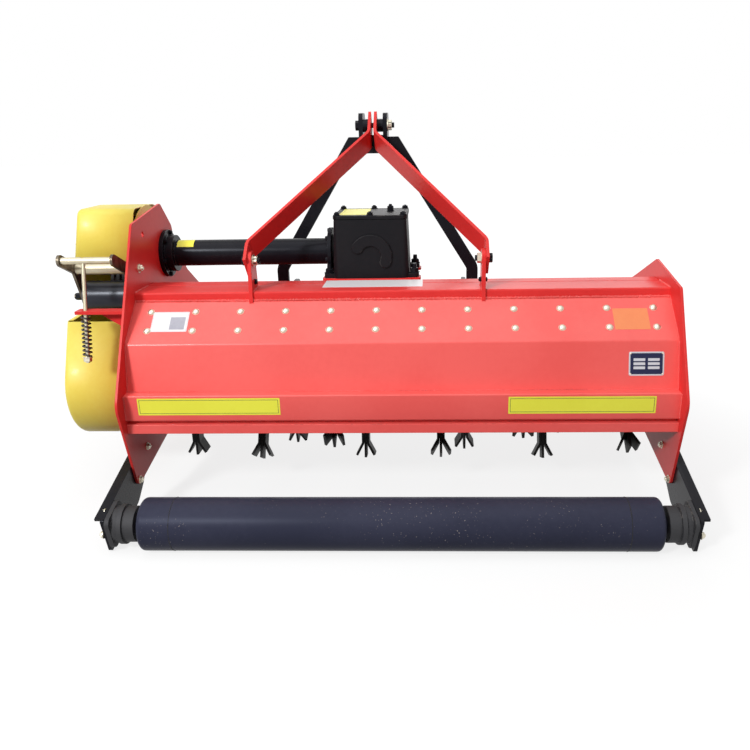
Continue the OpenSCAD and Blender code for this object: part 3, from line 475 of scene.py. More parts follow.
class Trees:
    """Geometry node trees for what repeats or follows a path."""

    def __init__(self) -> None:
        """Builds each tree once."""
        self.shade = self.build_shade()
        self.hexes = self.build_hexes()
        self.domes = self.build_domes()
        self.weld = self.build_weld()
        self.coil = self.build_coil()
        self.wire = self.build_wire()

    @staticmethod
    def begin(name: str, *inputs: tuple) -> tuple[Graph, dict[str, Socket]]:
        """Starts a tree that takes and gives a geometry, with rows for its other inputs."""
        return begun(name, "GeometryNodeTree", [("Geometry", SHAPE, None), *inputs], [("Geometry", SHAPE)])

    @staticmethod
    def smooth(graph: Graph, shape: Socket, angle: object) -> Socket:
        """Shades faces smooth and keeps edges over an angle sharp.

        Args:
            graph: Graph of the tree.
            shape: Geometry socket.
            angle: Angle socket or value, in radians.

        Returns:
            The geometry socket.
        """
        faces = graph.first("GeometryNodeSetShadeSmooth", {"Geometry": shape}, domain="FACE")
        bend = graph.node("GeometryNodeInputMeshEdgeAngle").outputs["Unsigned Angle"]
        feeds = {"Geometry": faces, "Shade Smooth": graph.math("LESS_THAN", bend, angle)}
        return graph.first("GeometryNodeSetShadeSmooth", feeds, domain="EDGE")

    def close(self, graph: Graph, given: dict[str, Socket], shape: Socket, angle: float) -> Tree:
        """Ends a tree: realizes the instances, shades them and sets the material.

        Args:
            graph: Graph of the tree.
            given: Inputs of the tree.
            shape: Geometry socket.
            angle: Edges sharper than this stay sharp, in degrees.

        Returns:
            The tree.
        """
        real = graph.first("GeometryNodeRealizeInstances", {0: shape})
        smooth = self.smooth(graph, real, math.radians(angle))
        return graph.end(Geometry=graph.first(
            "GeometryNodeSetMaterial", {"Geometry": smooth, "Material": given["Material"]}))

    @staticmethod
    def stand(graph: Graph, given: dict[str, Socket], shape: Socket) -> Socket:
        """Stands a shape on each point, its Z along the point's facing, turned at random.

        Args:
            graph: Graph of the tree.
            given: Inputs of the tree.
            shape: Shape to repeat.

        Returns:
            The instances.
        """
        facing = graph.node("GeometryNodeInputNamedAttribute", data_type="FLOAT_VECTOR")
        facing.inputs["Name"].default_value = "facing"
        feeds = {"Vector": facing.outputs["Attribute"]}
        align = graph.first("FunctionNodeAlignRotationToVector", feeds, axis="Z")
        chance = graph.node("FunctionNodeRandomValue", data_type="FLOAT")
        graph.feed(chance, {3: math.pi / 3, "Seed": given["Seed"]})
        twist = graph.first("FunctionNodeAxisAngleToRotation", {"Angle": chance.outputs[1]})
        turned = graph.first("FunctionNodeRotateRotation", {0: align, 1: twist}, rotation_space="LOCAL")
        return graph.first(
            "GeometryNodeInstanceOnPoints", {"Points": given["Geometry"], "Instance": shape, "Rotation": turned})

    @staticmethod
    def lifted(graph: Graph, shape: Socket, lift: object, scale: Sequence[float] = (1, 1, 1)) -> Socket:
        """Moves a shape up by a height and scales it."""
        up = graph.first("ShaderNodeCombineXYZ", {2: lift})
        return graph.first("GeometryNodeTransform", {"Geometry": shape, "Translation": up, "Scale": scale})

    def drum(self, graph: Graph, sides: int, radius: object, top: object, depth: object, lift: object) -> Socket:
        """A prism or cone of some depth that stands at a height."""
        feeds = {"Vertices": sides, "Radius Bottom": radius, "Radius Top": top, "Depth": depth}
        return self.lifted(graph, graph.node("GeometryNodeMeshCone", feeds).outputs["Mesh"], lift)

    @staticmethod
    def ball(graph: Graph, segments: int, rings: int, radius: Socket) -> Socket:
        """A sphere about the origin."""
        feeds = {"Segments": segments, "Rings": rings, "Radius": radius}
        return graph.node("GeometryNodeMeshUVSphere", feeds).outputs["Mesh"]

    @staticmethod
    def swept(graph: Graph, line: Socket, sides: int, radius: Socket) -> Socket:
        """A round tube with closed ends along a curve."""
        ring = graph.first("GeometryNodeCurvePrimitiveCircle", {"Resolution": sides, "Radius": radius})
        return graph.first("GeometryNodeCurveToMesh", {"Curve": line, "Profile Curve": ring, "Fill Caps": True})

    @staticmethod
    def joined(graph: Graph, shapes: Sequence[Socket]) -> Socket:
        """Joins shapes into one geometry.

        Args:
            graph: Graph of the tree.
            shapes: Geometry sockets; the last one is linked first.

        Returns:
            The geometry socket.
        """
        join = graph.node("GeometryNodeJoinGeometry")
        for shape in reversed(shapes):
            graph.feed(join, {0: shape})
        return join.outputs[0]

    def build_shade(self) -> Tree:
        """Merges a node's loose triangles and shades it by angle.

        Returns:
            The tree.
        """
        graph, given = self.begin(
            "merge_and_shade", ("Merge", FLOAT, 0.02 * MM), ("Angle", FLOAT, math.radians(30)))
        feeds = {"Geometry": given["Geometry"], "Distance": given["Merge"]}
        merge = graph.first("GeometryNodeMergeByDistance", feeds)
        return graph.end(Geometry=self.smooth(graph, merge, given["Angle"]))

    def build_hexes(self) -> Tree:
        """Hexagon bolt heads on washers, with the bolt's end standing out where it has one.

        Returns:
            The tree.
        """
        graph, given = self.begin(
            "hex_bolts", ("Radius", FLOAT, 0.009), ("Height", FLOAT, 0.007), ("Washer", FLOAT, 0.012),
            ("Washer height", FLOAT, 0.002), ("End", FLOAT, 0.004), SEED, MATERIAL)
        radius, height, washer = given["Radius"], given["Height"], given["Washer"]
        foot = graph.math("SUBTRACT", given["Washer height"], 0.3 * MM)
        body, crown, thread = (
            graph.times(whole, share)
            for whole, share in ((height, HEAD_STRAIGHT), (height, HEAD_CROWN), (radius, THREAD)))
        shoulder = graph.plus(foot, body)
        heads = self.joined(graph, [
            self.drum(graph, 20, washer, washer, given["Washer height"], 0.0),
            self.drum(graph, 6, radius, radius, body, foot),
            self.drum(graph, 6, radius, graph.times(radius, CROWN_TOP), crown, shoulder),
            self.drum(
                graph, 12, thread, graph.times(thread, THREAD_TOP), given["End"], graph.plus(shoulder, crown))])
        return self.close(graph, given, self.stand(graph, given, heads), 28)

    def build_domes(self) -> Tree:
        """Low dome heads, each on a short collar.

        Returns:
            The tree.
        """
        graph, given = self.begin("dome_bolts", ("Radius", FLOAT, 0.011), SEED, MATERIAL)
        radius = given["Radius"]
        dome = self.lifted(graph, self.ball(graph, 20, 12, radius), 1.2 * MM, (1, 1, 0.62))
        collar = self.drum(graph, 20, graph.times(radius, 1.12), graph.times(radius, 1.05), 1.6 * MM, 0.0)
        return self.close(graph, given, self.stand(graph, given, self.joined(graph, [collar, dome])), 40)

    def build_weld(self) -> Tree:
        """A weld bead along edges, as ripples that overlap.

        Returns:
            The tree.
        """
        graph, given = self.begin(
            "weld_bead", ("Radius", FLOAT, 0.004), ("Spacing", FLOAT, 0.004), SEED, MATERIAL)
        line = graph.first("GeometryNodeMeshToCurve", {0: given["Geometry"]})
        feeds = {"Curve": line, "Length": given["Spacing"]}
        points = graph.node("GeometryNodeCurveToPoints", feeds, mode="LENGTH")
        size = graph.node("FunctionNodeRandomValue", data_type="FLOAT_VECTOR")
        graph.feed(size, {0: (0.72, 0.72, 0.62), 1: (1.22, 1.22, 0.95), "Seed": given["Seed"]})
        stood = graph.first("GeometryNodeInstanceOnPoints", {
            "Points": points.outputs["Points"], "Instance": self.ball(graph, 8, 5, given["Radius"]),
            "Rotation": points.outputs["Rotation"], "Scale": size.outputs[0]})
        return self.close(graph, given, stood, 60)

    def build_coil(self) -> Tree:
        """A coil spring of round wire that stands on its lower end.

        Returns:
            The tree.
        """
        graph, given = self.begin(
            "coil_spring", ("Turns", FLOAT, 9.0), ("Radius", FLOAT, 0.010), ("Height", FLOAT, 0.12),
            ("Wire", FLOAT, 0.002), ("Foot", "NodeSocketVector", None), ("Lean", FLOAT, 0.0), MATERIAL)
        spiral = graph.first("GeometryNodeCurveSpiral", {
            "Resolution": 28, "Rotations": given["Turns"], "Start Radius": given["Radius"],
            "End Radius": given["Radius"], "Height": given["Height"]})
        moved = graph.first("GeometryNodeTransform", {
            "Geometry": self.swept(graph, spiral, 10, given["Wire"]), "Translation": given["Foot"],
            "Rotation": graph.first("ShaderNodeCombineXYZ", {0: given["Lean"]})})
        return self.close(graph, given, moved, 60)

    def build_wire(self) -> Tree:
        """Round wire or rod along edges.

        Returns:
            The tree.
        """
        graph, given = self.begin("round_wire", ("Radius", FLOAT, 0.003), MATERIAL)
        line = graph.first("GeometryNodeMeshToCurve", {0: given["Geometry"]})
        return self.close(graph, given, self.swept(graph, line, 12, given["Radius"]), 50)


TREES = Trees()


def socket_id(tree: Tree, name: str) -> str:
    """Identifier of a tree's named input.

    Args:
        tree: The tree.
        name: Name of the input.

    Returns:
        The socket's identifier.
    """
    return next(
        item.identifier for item in tree.interface.items_tree
        if item.item_type == "SOCKET" and item.in_out == "INPUT" and item.name == name)


def shown(name: str, mesh: bpy.types.Mesh, body: Body) -> bpy.types.Object:
    """Puts a finished mesh in the scene as a piece that rides on a body.

    Args:
        name: Name of the piece.
        mesh: Its mesh, in the frame's axes.
        body: Body that it moves with.

    Returns:
        The piece.
    """
    mesh.name = name
    piece = bpy.data.objects.new(name, mesh)
    bpy.context.scene.collection.objects.link(piece)
    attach(piece, body.value)
    LOG.info("%s: %d faces on %s", name, len(mesh.polygons), body.value)
    return piece


def grown(tree: Tree, source: bpy.types.Mesh, values: dict[str, object]) -> bpy.types.Mesh:
    """Runs a tree on a mesh and returns the plain mesh that comes out.

    Args:
        tree: Geometry node tree.
        source: Mesh that the tree starts from.
        values: Values by input name.

    Returns:
        The plain mesh.
    """
    holder = bpy.data.objects.new("holder", source)
    bpy.context.scene.collection.objects.link(holder)
    modifier = holder.modifiers.new("nodes", "NODES")
    modifier.node_group = tree
    for name, value in values.items():
        modifier[socket_id(tree, name)] = value
    ready = holder.evaluated_get(bpy.context.evaluated_depsgraph_get())
    mesh = bpy.data.meshes.new_from_object(ready)
    holder.modifiers.remove(modifier)
    bpy.data.objects.remove(holder)
    return mesh


@dataclass(frozen=True)
class Seat:
    """Place of one fastener: where its head sits and which way it faces."""

    at: Vector
    facing: Vector


def seat_mesh(seats: Iterable[Seat]) -> bpy.types.Mesh:
    """Mesh of points with the facing of each.

    Args:
        seats: Places of the fasteners.

    Returns:
        The mesh.
    """
    rows = list(seats)
    mesh = bpy.data.meshes.new("seats")
    mesh.from_pydata([tuple(row.at) for row in rows], [], [])
    facing = mesh.attributes.new("facing", "FLOAT_VECTOR", "POINT")
    for item, row in zip(facing.data, rows):
        item.vector = row.facing
    return mesh


def path_mesh(paths: Iterable[Sequence[Vector]]) -> bpy.types.Mesh:
    """Mesh of edges along some paths.

    Args:
        paths: Points of each path.

    Returns:
        The mesh.
    """
    points: list[tuple] = []
    edges: list[tuple[int, int]] = []
    for path in paths:
        first = len(points)
        points += [tuple(point) for point in path]
        edges += [(first + k, first + k + 1) for k in range(len(path) - 1)]
    mesh = bpy.data.meshes.new("paths")
    mesh.from_pydata(points, edges, [])
    return mesh


WASHER = 2.2 * MM
SAME_WAY = 0.97
FLAT_ANGLE = 0.4
BEAD_STEP = 0.9


@dataclass(frozen=True)
class Bolt:
    """Sizes of one kind of hexagon bolt."""

    radius: float
    height: float
    washer: float
    end: float = 0.5 * MM

    def pieces(self, name: str, seats: Iterable[Seat], finish: Finish) -> None:
        """Makes one piece of all the bolts at some seats.

        Args:
            name: Name of the piece.
            seats: Places of the bolts.
            finish: Finish of the bolts.
        """
        values = {
            "Radius": self.radius, "Height": self.height, "Washer": self.washer, "Washer height": WASHER,
            "End": self.end, "Seed": len(name), "Material": finish.material()}
        shown(name, grown(TREES.hexes, seat_mesh(seats), values), Body.ROOT)


M8 = Bolt(7.5 * MM, 5.5 * MM, 9 * MM)
M10 = Bolt(9.8 * MM, 7 * MM, 12 * MM, 3 * MM)
M12 = Bolt(11 * MM, 8 * MM, 14 * MM, 5 * MM)
FOOT_BOLT = Bolt(15 * MM, 13 * MM, 18 * MM, 15 * MM)
BREATHER = Bolt(11 * MM, 16 * MM, 13 * MM, 6 * MM)
ROD_NUT = Bolt(12.5 * MM, 13 * MM, 15.5 * MM, 3 * MM)
MAST_NUT = Bolt(18 * MM, 14 * MM, 21 * MM)
STAY_NUT = Bolt(16 * MM, 11.5 * MM, 19 * MM)


def weld(
        name: str, paths: Iterable[Sequence[Vector]], radius: float, finish: Finish,
        body: Body = Body.ROOT) -> None:
    """Makes one piece of weld beads along some paths.

    Args:
        name: Name of the piece.
        paths: Points of each path.
        radius: Radius of the bead.
        finish: Finish of the bead.
        body: Body that it moves with.
    """
    values = {
        "Radius": radius, "Spacing": BEAD_STEP * radius, "Seed": len(name), "Material": finish.material()}
    shown(name, grown(TREES.weld, path_mesh(paths), values), body)


def domes(name: str, seats: Iterable[Seat], radius: float, seed: int) -> None:
    """Makes one piece of bright dome heads at some seats."""
    values = {"Radius": radius, "Seed": seed, "Material": ZINC.material()}
    shown(name, grown(TREES.domes, seat_mesh(seats), values), Body.ROOT)


def bridge(
        shape: bmesh.types.BMesh, low: Sequence[bmesh.types.BMVert], high: Sequence[bmesh.types.BMVert],
        index: int = 0) -> None:
    """Adds the faces between two closed rings.

    Args:
        shape: Mesh that is being built.
        low: Points of the first ring.
        high: Points of the second ring.
        index: Finish of the faces.
    """
    for k in range(len(low)):
        n = (k + 1) % len(low)
        shape.faces.new((low[k], low[n], high[n], high[k])).material_index = index


def ended(name: str, shape: bmesh.types.BMesh, *finishes: Finish) -> bpy.types.Mesh:
    """Turns a mesh that was being built into a plain one.

    Args:
        name: Name of the mesh.
        shape: Mesh that was being built.
        finishes: Its finishes, in order.

    Returns:
        The plain mesh.
    """
    mesh = bpy.data.meshes.new(name)
    shape.to_mesh(mesh)
    shape.free()
    for finish in finishes:
        mesh.materials.append(finish.material())
    return mesh


@dataclass(frozen=True)
class Face:
    """A flat face of a node, with its own right, down and outward directions."""

    top: Vector
    right: Vector
    down: Vector
    out: Vector
    width: float
    length: float

    @classmethod
    def of(cls, node: str, facing: Sequence[float]) -> "Face":
        """Finds the largest flat face of a node towards a direction.

        Args:
            node: Name of the node.
            facing: Rough outward direction.

        Returns:
            The face.
        """
        mesh = frame["nodes"][node].data
        aim = Vector(facing).normalized()
        areas: dict[float, float] = {}
        members: dict[float, list[int]] = {}
        for polygon in mesh.polygons:
            if polygon.normal.dot(aim) > SAME_WAY:
                key = round(polygon.center.dot(polygon.normal), 3)
                areas[key] = areas.get(key, 0.0) + polygon.area
                members.setdefault(key, []).append(polygon.index)
        best = max(areas, key=lambda key: areas[key])
        out = sum((mesh.polygons[i].normal * mesh.polygons[i].area for i in members[best]), Vector()).normalized()
        right = (X_AXIS - out * X_AXIS.dot(out)).normalized()
        down = right.cross(out)
        corners = [mesh.vertices[v].co for i in members[best] for v in mesh.polygons[i].vertices]
        across = [corner.dot(right) for corner in corners]
        along = [corner.dot(down) for corner in corners]
        height = sum(corner.dot(out) for corner in corners) / len(corners)
        top = right * (min(across) + max(across)) / 2 + down * min(along) + out * height
        return cls(top, right, down, out, max(across) - min(across), max(along) - min(along))

    def at(self, u: float, v: float, lift: float = 0.0) -> Vector:
        """Point u to the right of the face's middle, v down from its upper edge and lifted off it."""
        return self.top + self.right * u + self.down * v + self.out * lift

    def seat(self, u: float, v: float) -> Seat:
        """Seat of a fastener on the face."""
        return Seat(self.at(u, v), self.out)


def rounded_outline(w: float, h: float, r: float, steps: int = 5) -> list[tuple[float, float]]:
    """Outline of a rectangle with rounded corners about its middle.

    Args:
        w: Width.
        h: Height.
        r: Corner radius.
        steps: Straight pieces in a corner.

    Returns:
        The points, in order.
    """
    points = []
    for k, (sx, sy) in enumerate(((1, 1), (-1, 1), (-1, -1), (1, -1))):
        for step in range(steps + 1):
            a = math.pi / 2 * (k + step / steps)
            points.append((sx * (w / 2 - r) + r * math.cos(a), sy * (h / 2 - r) + r * math.sin(a)))
    return points


@dataclass(frozen=True)
class Label:
    """A blank label or plate on a face: its size, its border line and its finishes.

    Attributes:
        name: Name of the piece.
        u: Middle, to the right of the face's middle.
        v: Middle, down from the face's upper edge.
        width: Width.
        height: Height.
        ground: Finish of the label.
        line: Finish of its border line.
        margin: Edge outside the border line.
        stroke: Width of the border line.
        corner: Corner radius.
        thick: Thickness.
        fields: Blank fields as rows of u, v, width and height about the middle.
    """

    name: str
    u: float
    v: float
    width: float
    height: float
    ground: Finish
    line: Finish
    margin: float = 5 * MM
    stroke: float = 1.6 * MM
    corner: float = 2 * MM
    thick: float = 0.5 * MM
    fields: tuple[FieldRow, ...] = ()

    def rings(self) -> list[tuple[float, float, int]]:
        """Lays out the label's outlines from the foot of its edge inwards.

        Returns:
            Rows of inset, height and finish index.
        """
        inner = self.margin + self.stroke
        return [
            (0.0, -0.2 * MM, 0), (0.0, 0.6 * self.thick, 0), (0.4 * self.thick, self.thick, 0),
            (self.margin, self.thick, 1), (inner, self.thick, 0)]

    def build(self, face: Face) -> None:
        """Makes the label on a face.

        Args:
            face: Face that carries it.
        """
        shape = bmesh.new()
        previous: list[bmesh.types.BMVert] = []
        index = 0
        for inset, lift, following in self.rings():
            outline = rounded_outline(
                self.width - 2 * inset, self.height - 2 * inset, max(self.corner - inset, 0.4 * MM))
            ring = [shape.verts.new(face.at(self.u + x, self.v - y, lift)) for x, y in outline]
            if previous:
                bridge(shape, previous, ring, index)
            previous, index = ring, following
        shape.faces.new(previous).material_index = index
        for u, v, w, h in self.fields:
            outline = rounded_outline(w, h, min(1.5 * MM, h / 3))
            low, high = (
                [shape.verts.new(face.at(self.u + u + x, self.v + v - y, lift)) for x, y in outline]
                for lift in (0.9 * self.thick, self.thick + 0.15 * MM))
            bridge(shape, low, high, 1)
            shape.faces.new(high).material_index = 1
        shown(self.name, ended(self.name, shape, self.ground, self.line), Body.ROOT)


def around(centre: Vector, axis: Vector, radius: float, count: int, start: float = 0.0) -> list[Vector]:
    """Points spaced evenly on a circle.

    Args:
        centre: Middle of the circle.
        axis: Direction square to it.
        radius: Its radius.
        count: Number of points.
        start: Angle of the first point, in degrees.

    Returns:
        The points.
    """
    side = axis.orthogonal().normalized()
    return [
        centre + Matrix.Rotation(math.radians(start + 360 * k / count), 3, axis) @ side * radius
        for k in range(count)]


def joint_axis(name: str) -> Vector:
    """Point on a joint's axis."""
    return Vector(next(joint["pos_m"] for joint in frame["joints"] if joint["name"] == name))


@dataclass
class Dressing:
    """Gives nodes their finish, their edges and their shading.

    Attributes:
        finish: Finish of the nodes.
        nodes: Names of the nodes.
        edge: Width of the rounding along their edges, or 0.
        angle: Edges sharper than this are rounded and stay sharp in shading, in degrees.
    """

    finish: Finish
    nodes: str
    edge: float = 1.2 * MM
    angle: float = 32.0

    def apply(self) -> None:
        """Puts the finish and the modifiers on each node."""
        for name in self.nodes.split():
            node = frame["nodes"][name]
            node.data.materials.clear()
            node.data.materials.append(self.finish.material())
            if self.edge and self.finish.chips:
                node.data.materials.append(self.finish.material(edge=True))
            shade = node.modifiers.new("merge_and_shade", "NODES")
            shade.node_group = TREES.shade
            shade[socket_id(TREES.shade, "Angle")] = math.radians(self.angle)
            if self.edge:
                flat = node.modifiers.new("flat_faces", "DECIMATE")
                flat.decimate_type = "DISSOLVE"
                flat.angle_limit = math.radians(FLAT_ANGLE)
                round_off = node.modifiers.new("rounded_edges", "BEVEL")
                round_off.width = self.edge
                round_off.segments = 2
                round_off.limit_method = "ANGLE"
                round_off.angle_limit = math.radians(self.angle)
                round_off.harden_normals = True
                round_off.material = len(node.data.materials) - 1
            LOG.info("%s: %s", name, self.finish.name)


@dataclass
class Housing:
    """Side plates, hood, beams and deck, with the fasteners, welds and labels on them."""

    bolt_pitch: float = 139.5 * MM
    bolt_columns: int = 12
    bolt_rows: tuple[float, float] = (42 * MM, 113 * MM)
    bolt_radius: float = 10.5 * MM
    bead: float = 3.2 * MM
    beam_bead: float = 4.8 * MM
    upper: Face = field(default_factory=lambda: Face.of("hood_panel", (0, -0.67, 0.74)))
    lower: Face = field(default_factory=lambda: Face.of("hood_panel", (0, -0.98, 0.2)))
    band: Face = field(default_factory=lambda: Face.of("hood_band", (0, -1, 0)))
    deck: Face = field(default_factory=lambda: Face.of("rear_beam", (0, 0, 1)))

    def dress(self) -> None:
        """Finishes the nodes."""
        Dressing(HOOD, "hood_panel hood_band hood_lip").apply()
        Dressing(RED, "side_plate_left side_plate_right rear_beam front_beam top_deck gearbox_seat").apply()
        Dressing(BLACK, "skid_left skid_right").apply()
        Dressing(FORGED, "counter_knives").apply()

    def build(self) -> None:
        """Makes what sits on the housing."""
        self.build_bolts()
        self.build_welds()
        self.build_labels()

    def build_bolts(self) -> None:
        """Dome bolts that hold the counter-knives, in two rows along the upper hood."""
        middle = (self.bolt_columns - 1) / 2
        seats = [
            self.upper.seat((k - middle) * self.bolt_pitch, v)
            for v in self.bolt_rows for k in range(self.bolt_columns)]
        domes("hood_bolts", seats, self.bolt_radius, 3)

    def build_welds(self) -> None:
        """Beads along the beam, down both ends of the hood and along its band."""
        half = self.upper.width / 2
        weld("beam_weld", [[self.upper.at(-half, 0), self.upper.at(half, 0)]], self.beam_bead, WELD)
        seams = []
        for side in (-half, half):
            for face in (self.upper, self.lower, self.band, self.deck):
                seams.append([face.at(side, 0), face.at(side, face.length)])
        seams.append([self.lower.at(-half, self.lower.length), self.lower.at(half, self.lower.length)])
        weld("housing_welds", seams, self.bead, WELD)

    def build_labels(self) -> None:
        """Blank labels and the blank data plate."""
        strip = dict(
            width=430 * MM, height=53 * MM, ground=STRIP, line=INK, margin=5 * MM, stroke=1.4 * MM, corner=2 * MM)
        Label("strip_left", -569 * MM, 30 * MM, **strip).build(self.band)
        Label("strip_right", 538 * MM, 30 * MM, **strip).build(self.band)
        Label(
            "white_label", -702 * MM, 79 * MM, 112 * MM, 74 * MM, WHITE, PALE_INK, 2 * MM, 0.7 * MM,
            fields=((24 * MM, 6 * MM, 46 * MM, 46 * MM),)).build(self.upper)
        Label(
            "orange_label", 696 * MM, 83 * MM, 104 * MM, 77 * MM, ORANGE, ORANGE, 2 * MM,
            0.7 * MM).build(self.upper)
        fields = tuple((u * MM, v * MM, 34 * MM, 8 * MM) for u in (-21, 21) for v in (-12, 0, 12))
        NamePlate("data_plate", 730 * MM, 63 * MM, 103 * MM, 71 * MM, fields).build(self.lower)
        Label(
            "deck_label", -87 * MM, 0.0, 317 * MM, 112 * MM, WHITE, WHITE, 2 * MM, 0.5 * MM).build(self.deck)


@dataclass(frozen=True)
class NamePlate:
    """A blank data plate: a dark field in a bright frame, with bright blank fields and four rivets."""

    name: str
    u: float
    v: float
    width: float
    height: float
    fields: tuple[FieldRow, ...]
    corner: float = 5 * MM
    frame_width: float = 4 * MM
    rivet_in: float = 5 * MM
    rivet_lift: float = 0.8 * MM
    rivet: float = 2.4 * MM

    def build(self, face: Face) -> None:
        """Makes the plate and its rivets on a face.

        Args:
            face: Face that carries it.
        """
        Label(
            self.name, self.u, self.v, self.width, self.height, PLATE_SILVER, PLATE_SILVER,
            corner=self.corner, thick=0.7 * MM).build(face)
        inset = 2 * self.frame_width
        Label(
            self.name + "_field", self.u, self.v, self.width - inset, self.height - inset, NAVY,
            PLATE_SILVER, 0.5 * MM, 0.2 * MM, 3 * MM, 1.0 * MM, self.fields).build(face)
        across, along = self.width / 2 - self.rivet_in, self.height / 2 - self.rivet_in
        seats = [
            Seat(face.at(self.u + sx * across, self.v + sy * along, self.rivet_lift), face.out)
            for sx in (-1, 1) for sy in (-1, 1)]
        domes(self.name + "_rivets", seats, self.rivet, 5)


def filleted(rows: Sequence[tuple[float, float, float]], steps: int = 7) -> list[Vector]:
    """Open line through corners, each rounded by its own radius.

    Args:
        rows: Rows of two coordinates and a radius; the ends have none.
        steps: Straight pieces in a corner.

    Returns:
        The points, in order.
    """
    points = [Vector(rows[0][:2])]
    for before, at, after in zip(rows, rows[1:], rows[2:]):
        corner = Vector(at[:2])
        a, b = ((Vector(row[:2]) - corner).normalized() for row in (before, after))
        half = a.angle(b) / 2
        centre = corner + (a + b).normalized() * at[2] / math.sin(half)
        spokes = [corner + way * at[2] / math.tan(half) - centre for way in (a, b)]
        for step in range(steps + 1):
            points.append(centre + spokes[0].lerp(spokes[1], step / steps).normalized() * at[2])
    return points + [Vector(rows[-1][:2])]


@dataclass(frozen=True)
class CoverHalf:
    """One half of the belt cover: an open outline with a wall along it, and the edge of its open side.

    Attributes:
        path: Points of the wall, as Y and Z.
        mouth: Points of the open side between the wall's end and its start.
        ends: Directions from the wall's start and end along the open side.
        face_x: X of the outer face.
        ledge: Width of the strip that is turned in along the open side, or 0.
    """

    path: list[Vector]
    mouth: list[Vector]
    ends: tuple[Vector, Vector]
    face_x: float
    ledge: float = 0.0

    def inward(self) -> list[Vector]:
        """Finds the way in which each point of the wall moves when the outline shrinks.

        Returns:
            The directions.
        """
        middle = sum(self.path, Vector((0, 0))) / len(self.path)
        ways = []
        for before, at, after in zip(self.path[:1] + self.path, self.path, self.path[1:] + self.path[-1:]):
            run = (after - before).normalized()
            normal = Vector((-run.y, run.x))
            ways.append(normal if normal.dot(middle - at) > 0 else -normal)
        for k, end in ((0, self.ends[0]), (-1, self.ends[1])):
            ways[k] = end / max(end.dot(ways[k]), 0.3)
        return ways

    def row(self, inset: float, count: int) -> list[Vector]:
        """Points spaced evenly along the outline, inside it.

        Args:
            inset: Distance from the outline.
            count: Number of points.

        Returns:
            The points.
        """
        line = [at + way * inset for at, way in zip(self.path, self.inward())]
        steps = [(b - a).length for a, b in zip(line, line[1:])]
        points = []
        for k in range(count):
            left = sum(steps) * (k + 0.5) / count
            for a, b, step in zip(line, line[1:], steps):
                if left <= step:
                    points.append(a.lerp(b, left / step))
                    break
                left -= step
        return points

    def add(self, shape: bmesh.types.BMesh, inner_x: float, edge: float, steps: int = 5) -> None:
        """Adds the wall, the rounded edge and the outer face.

        Args:
            shape: Mesh that is being built.
            inner_x: X of the wall's inner edge.
            edge: Radius of the rounded edge.
            steps: Straight pieces in the rounding.
        """
        rows = [(inner_x, 0.0), (self.face_x + 1.3 * edge, 0.0)]
        for step in range(steps + 1):
            a = math.pi / 2 * step / steps
            rows.append((self.face_x + edge * (1 - math.sin(a)), edge * (1 - math.cos(a))))
        rows.append((self.face_x, 1.3 * edge))
        ways = self.inward()
        faces = []
        previous: list[bmesh.types.BMVert] = []
        for x, inset in rows:
            ring = [shape.verts.new((x, *(at + way * inset))) for at, way in zip(self.path, ways)]
            for k in range(len(ring) - 1) if previous else ():
                faces.append(shape.faces.new((previous[k], previous[k + 1], ring[k + 1], ring[k])))
            previous = ring
        rest = [shape.verts.new((self.face_x, *at)) for at in self.mouth]
        cap = shape.faces.new(previous + rest)
        if self.ledge:
            ends = previous[0], previous[-1]
            turned = [shape.verts.new(vert.co + X_AXIS * self.ledge) for vert in ends]
            faces.append(shape.faces.new((previous[0], previous[-1], turned[1], turned[0])))
        bmesh.ops.recalc_face_normals(shape, faces=faces + [cap])
        if cap.normal.x > 0:
            bmesh.ops.reverse_faces(shape, faces=faces + [cap])


